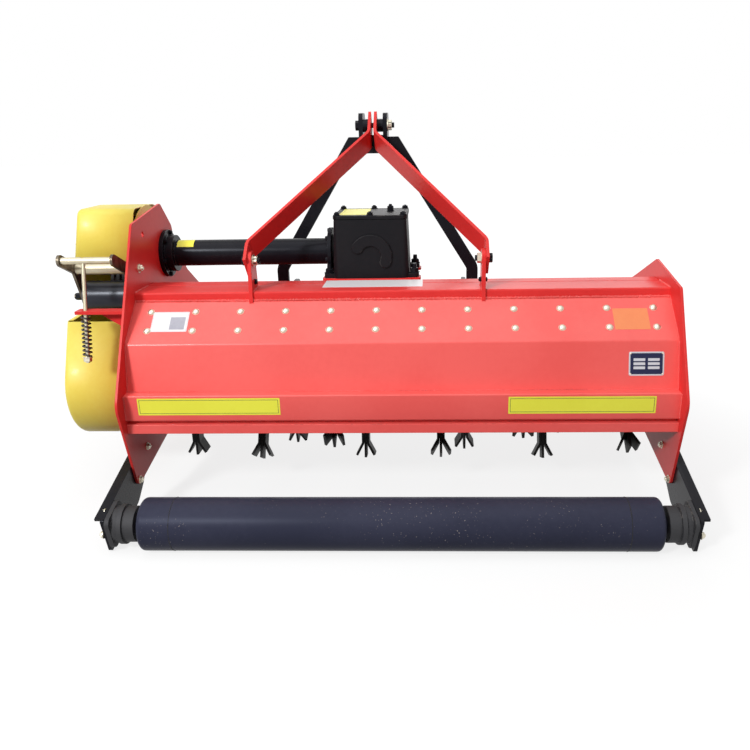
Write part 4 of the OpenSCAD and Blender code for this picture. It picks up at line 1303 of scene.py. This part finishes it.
@dataclass
class BeltCover:
    """Sheet cover over the belts: an upper and a lower half, open at the back for the tensioner."""

    low_radius: float = 169 * MM
    top_radius: float = 166 * MM
    roof_under: float = 2 * MM
    rear_bend: float = 32 * MM
    front_bend: float = 110 * MM
    seam_z: float = 592 * MM
    low_edge_z: float = 579 * MM
    mouth_z: float = 760 * MM
    mouth_y: float = 14 * MM
    upper_x: float = -966 * MM
    lower_x: float = -981 * MM
    inner_x: float = -773 * MM
    edge: float = 15 * MM
    sheet: float = 3 * MM
    bolt_in: float = 30 * MM
    bolts: int = 6

    def halves(self) -> tuple[CoverHalf, CoverHalf]:
        """Lays out both halves about the axes of the two pulleys.

        Returns:
            Upper and lower half.
        """
        low, top = (joint_axis(name).yz for name in ("rotor_spin", "cross_shaft_spin"))
        run = (top - low).normalized()
        rear = Vector((-run.y, run.x))
        back = low + rear * self.low_radius, top + rear * self.top_radius
        front = low - rear * self.low_radius, top - rear * self.top_radius

        def on(line: tuple[Vector, Vector], z: float) -> float:
            """Y of a slanting line at a height."""
            return line[0].x + (line[1].x - line[0].x) * (z - line[0].y) / (line[1].y - line[0].y)

        roof = top.y + self.top_radius - self.roof_under
        nose = top.x + self.top_radius
        nose_z = front[0].y + (nose - front[0].x) * (front[1].y - front[0].y) / (front[1].x - front[0].x)
        upper = filleted([
            (on(back, self.mouth_z), self.mouth_z, 0.0), (on(back, roof), roof, self.rear_bend),
            (nose, roof, self.front_bend), (nose, nose_z, self.front_bend),
            (on(front, self.seam_z), self.seam_z, 0.0)])
        start = math.atan2(-rear.y, -rear.x)
        steps = 24
        turns = [start - math.pi * k / steps for k in range(steps + 1)]
        arc = [low + self.low_radius * Vector((math.cos(a), math.sin(a))) for a in turns]
        lower = [
            Vector((on(front, self.seam_z), self.seam_z)), *arc,
            Vector((on(back, self.low_edge_z), self.low_edge_z))]
        ahead, behind = Vector((1, 0)), Vector((-1, 0))
        notch = [Vector((self.mouth_y, z)) for z in (self.seam_z, self.mouth_z)]
        return (
            CoverHalf(upper, notch, (ahead, behind), self.upper_x),
            CoverHalf(lower, [], (behind, ahead), self.lower_x, self.upper_x - self.lower_x))

    def build(self) -> None:
        """Makes the cover and the bolts on its outer face."""
        shape = bmesh.new()
        seats = []
        for half in self.halves():
            half.add(shape, self.inner_x, self.edge)
            spots = half.row(self.bolt_in, self.bolts)
            seats += [Seat(Vector((half.face_x, *at)), -X_AXIS) for at in spots]
        for face in shape.faces:
            face.smooth = True
        mesh = ended("belt_cover_sheets", shape, YELLOW)
        mesh.set_sharp_from_angle(angle=math.radians(35))
        cover = shown("belt_cover_sheets", mesh, Body.ROOT)
        wall = cover.modifiers.new("sheet", "SOLIDIFY")
        wall.thickness = self.sheet
        wall.offset = -1.0
        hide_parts("belt_cover")
        M8.pieces("cover_bolts", seats, ZINC)


@dataclass
class Drive:
    """Gearbox, cross shaft, pulleys, belts and belt cover."""

    flange_bolts: int = 6
    flange_ring: float = 71.5 * MM
    flange_thick: float = 14 * MM
    lid_bolt_in: float = 14 * MM
    vent_u: float = 62 * MM
    vent_share: float = 0.45
    foot_thick: float = 14 * MM
    foot_ear: float = 16 * MM
    foot_reach: float = 92 * MM
    tube_radius: float = 44.5 * MM
    sticker_lift: float = 0.4 * MM
    sticker_in: float = 50 * MM
    sticker_width: float = 58 * MM
    sticker_from: float = 95.0
    sticker_turn: float = 50.0
    lid: Face = field(default_factory=lambda: Face.of("gearbox_lid", (0, 0, 1)))

    def dress(self) -> None:
        """Finishes the nodes."""
        Dressing(GEAR_BLACK, "gearbox_housing gearbox_lid gearbox_rear_cap", 3 * MM).apply()
        Dressing(BLACK, "shaft_tube", 2 * MM).apply()
        Dressing(YELLOW, "cover_back").apply()
        Dressing(STEEL, "cross_shaft input_shaft", 0.8 * MM).apply()
        Dressing(IRON, "drive_pulley rotor_pulley", 0.0).apply()
        Dressing(RUBBER, "drive_belts", 0.0).apply()

    def build(self) -> None:
        """Makes what sits on the gearbox and the shaft tube."""
        BeltCover().build()
        self.build_lid()
        self.build_flanges()
        self.build_sticker()

    def build_lid(self) -> None:
        """Lid bolts, foot bolts, breather and the blank sticker."""
        u, far = self.lid.width / 2 - self.lid_bolt_in, self.lid_bolt_in
        seats = [self.lid.seat(x, v) for x in (-u, 0.0, u) for v in (self.lid.length - far, far)]
        M10.pieces("lid_bolts", seats, BLACK)
        low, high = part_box("gearbox_housing")
        foot_top = Face.of("gearbox_seat", (0, 0, 1)).top.z + self.foot_thick
        middle = sum(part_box("gearbox_lid"), Vector()) / 2
        seats = [
            Seat(Vector((x, middle.y + y, foot_top)), Z_AXIS)
            for x in (low.x + self.foot_ear, high.x - self.foot_ear) for y in (-self.foot_reach, self.foot_reach)]
        FOOT_BOLT.pieces("foot_bolts", seats, BLACK)
        vent = self.lid.seat(self.vent_u, self.lid.length * self.vent_share)
        BREATHER.pieces("breather", [vent], BLACK)
        Label(
            "lid_sticker", -56 * MM, self.lid.length / 2, 94 * MM, 195 * MM, STRIP, STRIP, 2 * MM,
            0.5 * MM).build(self.lid)

    def build_flanges(self) -> None:
        """Bolts round both flanges of the shaft tube."""
        axis = joint_axis("cross_shaft_spin")
        low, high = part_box("shaft_tube")
        seats = []
        for x, way in ((low.x + self.flange_thick, 1.0), (high.x - self.flange_thick, -1.0)):
            centre, facing = Vector((x, axis.y, axis.z)), X_AXIS * way
            seats += [Seat(p, facing) for p in around(centre, facing, self.flange_ring, self.flange_bolts, 30)]
        M8.pieces("flange_bolts", seats, BLACK)

    def build_sticker(self) -> None:
        """Blank sticker that bends round the rear of the shaft tube."""
        axis = joint_axis("cross_shaft_spin")
        radius = self.tube_radius + self.sticker_lift
        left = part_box("shaft_tube")[0].x + self.sticker_in
        shape = bmesh.new()
        steps = 10
        rows = []
        for k in range(steps + 1):
            a = math.radians(self.sticker_from + self.sticker_turn * k / steps)
            y, z = axis.y + radius * math.cos(a), axis.z + radius * math.sin(a)
            rows.append([shape.verts.new((left + x, y, z)) for x in (0.0, self.sticker_width)])
        for a, b in zip(rows, rows[1:]):
            shape.faces.new((a[0], a[1], b[1], b[0]))
        bmesh.ops.recalc_face_normals(shape, faces=shape.faces)
        for item in shape.faces:
            item.smooth = True
            middle = item.calc_center_median()
            if item.normal.dot(middle - Vector((middle.x, axis.y, axis.z))) < 0:
                item.normal_flip()
        shown("tube_sticker", ended("tube_sticker", shape, STRIP), Body.ROOT)


@dataclass
class Tensioner:
    """Belt tensioner: arm, idler, rod, spring and shelf."""

    turns: float = 10.0
    coil: float = 12.2 * MM
    wire: float = 2.8 * MM
    length: float = 125.4 * MM
    rod: float = 6.2 * MM
    rod_up: float = 227 * MM
    stub: float = 28 * MM
    cheek_x: float = -926 * MM
    lean: float = math.radians(12.5)
    pivot_back: float = 81 * MM
    pivot_z: float = 751 * MM
    rod_down: float = 4 * MM
    bead: float = 2.6 * MM

    def dress(self) -> None:
        """Finishes the nodes."""
        Dressing(ARM_ZINC, "tensioner_arm", 0.8 * MM).apply()
        Dressing(DRUM, "idler_drum", 0.0).apply()
        Dressing(RED, "tensioner_shelf").apply()

    def build(self) -> None:
        """Makes the spring and its rod, the pivot bolt, the axle's end and the shelf's welds."""
        low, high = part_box("tensioner_spring")
        axis = Vector((0, math.sin(self.lean), math.cos(self.lean)))
        centre = (low + high) / 2
        foot = centre - axis * (self.length / 2 + self.wire)
        values = {"Radius": self.rod, "Material": GOLD_ZINC.material()}
        path = path_mesh([[foot - axis * self.rod_down, centre + axis * self.rod_up]])
        rod = shown("tension_rod", grown(TREES.wire, path, values), Body.ROOT)
        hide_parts("tensioner_rod")
        ROD_NUT.pieces("rod_nut", [Seat(foot, -axis)], ZINC)
        drum = joint_axis("idler_spin")
        Bolt(12 * MM, self.stub - 2 * MM, 15 * MM).pieces(
            "axle_end", [Seat(Vector((self.cheek_x, drum.y, drum.z)), -X_AXIS)], BLACK)
        values = {
            "Turns": self.turns, "Radius": self.coil, "Height": self.length, "Wire": self.wire,
            "Foot": tuple(centre - axis * self.length / 2), "Lean": -self.lean,
            "Material": SPRING.material()}
        spring = shown(
            "spring_coil", grown(TREES.coil, bpy.data.meshes.new("empty"), values), Body.ROOT)
        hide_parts("tensioner_spring")
        pivot = Vector((
            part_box("side_plate_left")[1].x, joint_axis("rotor_spin").y - self.pivot_back, self.pivot_z))
        M12.pieces("pivot_bolt", [Seat(pivot, X_AXIS)], ZINC)
        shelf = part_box("tensioner_shelf")
        x = shelf[1].x
        seam = [Vector((x, shelf[0].y, shelf[1].z)), Vector((x, shelf[1].y, shelf[1].z))]
        weld("shelf_welds", [seam], self.bead, WELD)


@dataclass
class Rotor:
    """Flail rotor with its bearings."""

    bolt_square: float = 50 * MM
    flange_thick: float = 12 * MM

    def dress(self) -> None:
        """Finishes the nodes."""
        Dressing(BLACK, "rotor_drum", 0.0).apply()
        Dressing(FORGED, "flail_blades", 0.8 * MM).apply()
        Dressing(FORGED, "flail_pins", 0.0).apply()
        Dressing(IRON, "rotor_bearing_left rotor_bearing_right", 2 * MM).apply()

    def build(self) -> None:
        """Bolts of both rotor bearings."""
        axis = joint_axis("rotor_spin")
        left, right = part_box("side_plate_left")[0].x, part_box("side_plate_right")[1].x
        plates = (left - self.flange_thick, -1.0), (right + self.flange_thick, 1.0)
        seats = [
            Seat(Vector((x, axis.y + sy * self.bolt_square, axis.z + sz * self.bolt_square)), X_AXIS * way)
            for x, way in plates for sy in (-1, 1) for sz in (-1, 1)]
        M12.pieces("bearing_bolts", seats, ZINC)


@dataclass
class GroundRoller:
    """Rear roller with its arms and bearings."""

    seam_in: float = 95 * MM
    half: float = 740 * MM
    sunk: float = 1.0 * MM
    bead: float = 1.8 * MM
    arm_thick: float = 10 * MM
    bearing_ring: float = 44 * MM
    arm_bolts: tuple[tuple[float, float], ...] = ((-290 * MM, 117 * MM), (-200 * MM, 192 * MM))

    def dress(self) -> None:
        """Finishes the nodes."""
        Dressing(ROLLER_BLACK, "roller", 0.0).apply()
        Dressing(BLACK, "roller_arm_left roller_arm_right", 1.6 * MM).apply()
        Dressing(IRON, "roller_bearing_left roller_bearing_right", 2 * MM).apply()

    def build(self) -> None:
        """Seams on the roller, bearing bolts and the bolts that hold the arms."""
        axis = joint_axis("roller_spin")
        left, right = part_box("side_plate_left"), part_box("side_plate_right")
        low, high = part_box("roller")
        radius = axis.z - self.sunk
        middle = (low.x + high.x) / 2
        seams = []
        for x in (middle - self.half + self.seam_in, middle + self.half - self.seam_in):
            ring = around(Vector((x, axis.y, axis.z)), X_AXIS, radius, 72)
            seams.append(ring + ring[:1])
        weld("roller_seams", seams, self.bead, BLACK_WELD, Body.ROLLER)
        seats = []
        for x, way in ((left[0].x - self.arm_thick, -1.0), (right[1].x + self.arm_thick, 1.0)):
            for p in around(Vector((x, axis.y, axis.z)), X_AXIS, self.bearing_ring, 4, 60):
                seats.append(Seat(p, X_AXIS * way))
        M10.pieces("roller_bearing_bolts", seats, ZINC)
        rotor = joint_axis("rotor_spin")
        seats = [
            Seat(Vector((x, rotor.y + y, z)), X_AXIS * way)
            for x, way in ((left[1].x, 1.0), (right[0].x, -1.0)) for y, z in self.arm_bolts]
        M10.pieces("arm_bolts", seats, ZINC)


@dataclass
class Hitch:
    """Three-point mast, stays, brackets and lower hitch."""

    bead: float = 3 * MM
    mast_bolt: tuple[float, float] = (319.2 * MM, 1170 * MM)
    foot_bolt: tuple[float, float] = (-135.75 * MM, 775 * MM)
    pin_z: float = 709 * MM
    web_z: tuple[float, float] = (1076 * MM, 1138 * MM)
    web_y: float = 366 * MM
    web_thick: float = 6 * MM
    web_corner: float = 8 * MM
    web_edge: float = 1.2 * MM
    web_lap: float = 1 * MM
    cheek: float = 15 * MM
    stay_thick: float = 10 * MM
    spacer: float = 22 * MM
    foot_width: float = 42 * MM
    bracket_in: float = 12 * MM
    plate_in: float = 4 * MM
    pin_ring: float = 33 * MM
    pin_reach: float = 34 * MM
    pin_in: float = 11 * MM
    pin_wire: float = 3.2 * MM

    def dress(self) -> None:
        """Finishes the nodes."""
        legs = "mast_leg_left mast_leg_right mast_head hitch_plate_left hitch_plate_right"
        Dressing(BLACK, legs, 2 * MM).apply()
        Dressing(RED, "stay_left stay_right stay_bracket_left stay_bracket_right").apply()
        Dressing(STEEL, "hitch_pin_left hitch_pin_right", 1 * MM).apply()
        Dressing(BLACK, "stay_bolts", 1 * MM).apply()

    def build(self) -> None:
        """Makes the web of the mast head, the nuts and pins, and the welds."""
        self.build_web()
        self.build_nuts()
        self.build_linch_pins()
        self.build_welds()

    def build_web(self) -> None:
        """Plate between the cheeks of the mast head."""
        low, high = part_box("mast_head")
        width, height = high.x - low.x - 2 * self.cheek + self.web_lap, self.web_z[1] - self.web_z[0]
        middle = Vector(((low.x + high.x) / 2, self.web_y, sum(self.web_z) / 2))
        shape = bmesh.new()
        outline = rounded_outline(width, height, self.web_corner)
        front, rear = (
            [shape.verts.new(middle + Vector((x, depth, z))) for x, z in outline]
            for depth in (self.web_thick, 0.0))
        bridge(shape, front, rear)
        shape.faces.new(front)
        shape.faces.new(rear)
        bmesh.ops.recalc_face_normals(shape, faces=shape.faces)
        web = shown("mast_web", ended("mast_web", shape, BLACK), Body.ROOT)
        edge = web.modifiers.new("rounded_edges", "BEVEL")
        edge.width = self.web_edge
        edge.segments = 2
        edge.limit_method = "ANGLE"

    def build_nuts(self) -> None:
        """Bright nuts on the stay bolts, and the small bolts below them in the brackets."""
        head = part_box("mast_head")[1].x
        MAST_NUT.pieces("mast_nut", [Seat(Vector((head, *self.mast_bolt)), X_AXIS)], ZINC)
        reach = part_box("stay_left")[1].x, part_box("stay_right")[0].x
        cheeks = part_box("mast_head")[0].x + self.cheek, head - self.cheek
        spans = (cheeks[0], reach[0] - self.stay_thick), (reach[1] + self.stay_thick, cheeks[1])
        paths = path_mesh([[Vector((x, *self.mast_bolt)) for x in span] for span in spans])
        values = {"Radius": self.spacer, "Material": BLACK.material()}
        shown("mast_spacers", grown(TREES.wire, paths, values), Body.ROOT)
        nuts, pins = [], []
        for side, way in (("left", 1.0), ("right", -1.0)):
            low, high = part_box(f"stay_bracket_{side}")
            inner, outer = (high.x, low.x) if way > 0 else (low.x, high.x)
            nuts.append(Seat(Vector((inner, *self.foot_bolt)), X_AXIS * way))
            pins += [
                Seat(Vector((inner, self.foot_bolt[0], self.pin_z)), X_AXIS * way),
                Seat(Vector((outer, self.foot_bolt[0], self.pin_z)), X_AXIS * -way)]
        STAY_NUT.pieces("stay_nuts", nuts, ZINC)
        M8.pieces("bracket_pins", pins, BLACK)

    def build_linch_pins(self) -> None:
        """Spring pins through the outer ends of both hitch pins."""
        paths = []
        for side, way in (("left", -1.0), ("right", 1.0)):
            low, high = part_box(f"hitch_pin_{side}")
            x = (low.x if way < 0 else high.x) - way * self.pin_in
            middle = Vector((x, (low.y + high.y) / 2, (low.z + high.z) / 2))
            paths.append([middle + Vector((0, 0, sign * self.pin_reach)) for sign in (-1, 1)])
            turns = (math.radians(90 + 9 * k) for k in range(21))
            paths.append([middle + self.pin_ring * Vector((0, math.cos(a), math.sin(a))) for a in turns])
        values = {"Radius": self.pin_wire, "Material": ZINC.material()}
        shown("linch_pins", grown(TREES.wire, path_mesh(paths), values), Body.ROOT)

    def build_welds(self) -> None:
        """Welds of the brackets on the beam and of the legs and plates on the front beam."""
        paths = []
        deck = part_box("rear_beam")[1].z
        for side in ("left", "right"):
            low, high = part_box(f"stay_bracket_{side}")
            for x in (low.x, high.x):
                paths.append([Vector((x, low.y + self.bracket_in, deck)), Vector((x, high.y, deck))])
        weld("bracket_welds", paths, self.bead, WELD)
        paths = []
        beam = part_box("front_beam")
        for side in ("left", "right"):
            low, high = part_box(f"mast_leg_{side}")
            foot = (high.x, high.x - self.foot_width) if side == "right" else (low.x, low.x + self.foot_width)
            for y in (low.y, high.y):
                paths.append([Vector((foot[0], y, beam[1].z)), Vector((foot[1], y, beam[1].z))])
            low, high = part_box(f"hitch_plate_{side}")
            for x in (low.x, high.x):
                heights = beam[0].z + self.plate_in, beam[1].z
                paths.append([Vector((x, beam[1].y, z)) for z in heights])
        weld("hitch_welds", paths, self.bead, BLACK_WELD)


PURE_WHITE = (1.0, 1.0, 1.0, 1.0)
FLOOR_GREY = (0.20, 0.20, 0.20, 1.0)


@dataclass
class Studio:
    """Pale floor, soft light and the camera.

    Attributes:
        eye: Place of the camera.
        pitch: How far it looks down, in degrees.
        yaw: How far it looks to the left, in degrees.
        roll: Turn of the picture, in degrees.
        lens: Focal length on a 36 mm sensor, in millimetres.
        shift: Sideways shift of the picture.
        fill: Strength of the surrounding light.
        floor_half: Half of the floor's width.
        floor_reach: Distances between which the floor turns white.
        floor_white: Its brightness at those distances.
        aim: Point that the lights look at.
    """

    eye: tuple[float, float, float] = (0.198, -2.428, 1.148)
    pitch: float = 18.1
    yaw: float = 2.25
    roll: float = -1.07
    lens: float = 35.76
    shift: float = -0.0349
    fill: float = 0.28
    floor_half: float = 30.0
    floor_reach: tuple[float, float] = (1.0, 2.6)
    floor_white: tuple[float, float] = (0.80, 1.0)
    aim: tuple[float, float, float] = (0.1, -0.1, 0.5)

    def build(self) -> None:
        """Makes the whole studio."""
        self.build_camera()
        self.build_world()
        self.build_floor()
        self.build_lights()
        bpy.context.scene.view_settings.view_transform = "Standard"

    def build_camera(self) -> None:
        """Camera at the photograph's viewing angle."""
        data = bpy.data.cameras.new("camera")
        data.lens = self.lens
        data.sensor_width = 36.0
        data.shift_x = self.shift
        data.clip_end = 100.0
        camera = bpy.data.objects.new("camera", data)
        camera.location = self.eye
        swing = Matrix.Rotation(math.radians(self.yaw), 4, "Z")
        tilt = Matrix.Rotation(math.radians(90 - self.pitch), 4, "X")
        turn = Matrix.Rotation(math.radians(self.roll), 4, "Z")
        camera.rotation_euler = (swing @ tilt @ turn).to_euler()
        bpy.context.scene.collection.objects.link(camera)
        bpy.context.scene.camera = camera

    def build_world(self) -> None:
        """White surroundings that fill the shadows softly."""
        world = bpy.data.worlds.new("surroundings")
        world.use_nodes = True
        bpy.context.scene.world = world
        graph = Graph(world.node_tree)
        graph.feed(world.node_tree.nodes["Background"], {
            "Color": PURE_WHITE, "Strength": graph.ramp(self.seen(graph), 0.0, 1.0, self.fill, 1.0)})

    @staticmethod
    def seen(graph: Graph) -> Socket:
        """Mask of rays from the camera, off gloss or through glass.

        Args:
            graph: Graph of the material or world.

        Returns:
            The mask.
        """
        path = graph.node("ShaderNodeLightPath")
        rays = ("Is Camera Ray", "Is Glossy Ray", "Is Transmission Ray")
        first, second, third = (path.outputs[name] for name in rays)
        return graph.math("MAXIMUM", graph.math("MAXIMUM", first, second), third)

    def build_floor(self) -> None:
        """Pale floor that keeps the shadow."""
        mesh = bpy.data.meshes.new("floor")
        ways = (-1, -1), (1, -1), (1, 1), (-1, 1)
        mesh.from_pydata([(x * self.floor_half, y * self.floor_half, 0.0) for x, y in ways], [], [(0, 1, 2, 3)])
        floor = bpy.data.objects.new("floor", mesh)
        bpy.context.scene.collection.objects.link(floor)
        material = bpy.data.materials.new("pale_floor")
        material.use_nodes = True
        graph = Graph(material.node_tree)
        away = graph.node("ShaderNodeVectorMath", {0: graph.place()}, operation="LENGTH").outputs["Value"]
        white = graph.ramp(away, *self.floor_reach, *self.floor_white)
        graph.feed(material.node_tree.nodes["Principled BSDF"], {
            "Base Color": FLOOR_GREY, "Roughness": 0.9, "Specular IOR Level": 0.0, "Emission Color": PURE_WHITE,
            "Emission Strength": graph.times(self.seen(graph), white)})
        mesh.materials.append(material)

    def build_lights(self) -> None:
        """A wide soft light overhead, a smaller one from the upper left and a weak one in front."""
        self.area("overhead", (-0.5, -1.4, 4.4), (5.0, 4.0), 98.0)
        self.area("key", (-2.5, -4.2, 3.3), (0.8, 0.8), 205.0)
        self.area("front", (0.8, 4.2, 3.4), (3.0, 3.0), 60.0)

    def area(self, name: str, place: tuple[float, ...], size: tuple[float, float], power: float) -> None:
        """Adds an area light aimed at the machine.

        Args:
            name: Name of the light.
            place: Where it stands.
            size: Width and length.
            power: Power in watts.
        """
        data = bpy.data.lights.new(name, "AREA")
        data.shape = "RECTANGLE"
        data.size, data.size_y = size
        data.energy = power
        light = bpy.data.objects.new(name, data)
        light.location = place
        aim = Vector(self.aim) - Vector(place)
        light.rotation_euler = aim.to_track_quat("-Z", "Y").to_euler()
        bpy.context.scene.collection.objects.link(light)


def corners(box: tuple[Vector, Vector]) -> list[list[float]]:
    """Box as plain lists of numbers."""
    return [list(corner) for corner in box]


def main() -> None:
    """Builds the studio and each sub-assembly."""
    logging.basicConfig(level=logging.INFO, format="%(message)s")
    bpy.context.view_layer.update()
    Studio().build()
    for part in (Housing(), Drive(), Tensioner(), Rotor(), GroundRoller(), Hitch()):
        part.dress()
        part.build()


if __name__ == "__main__":
    main()
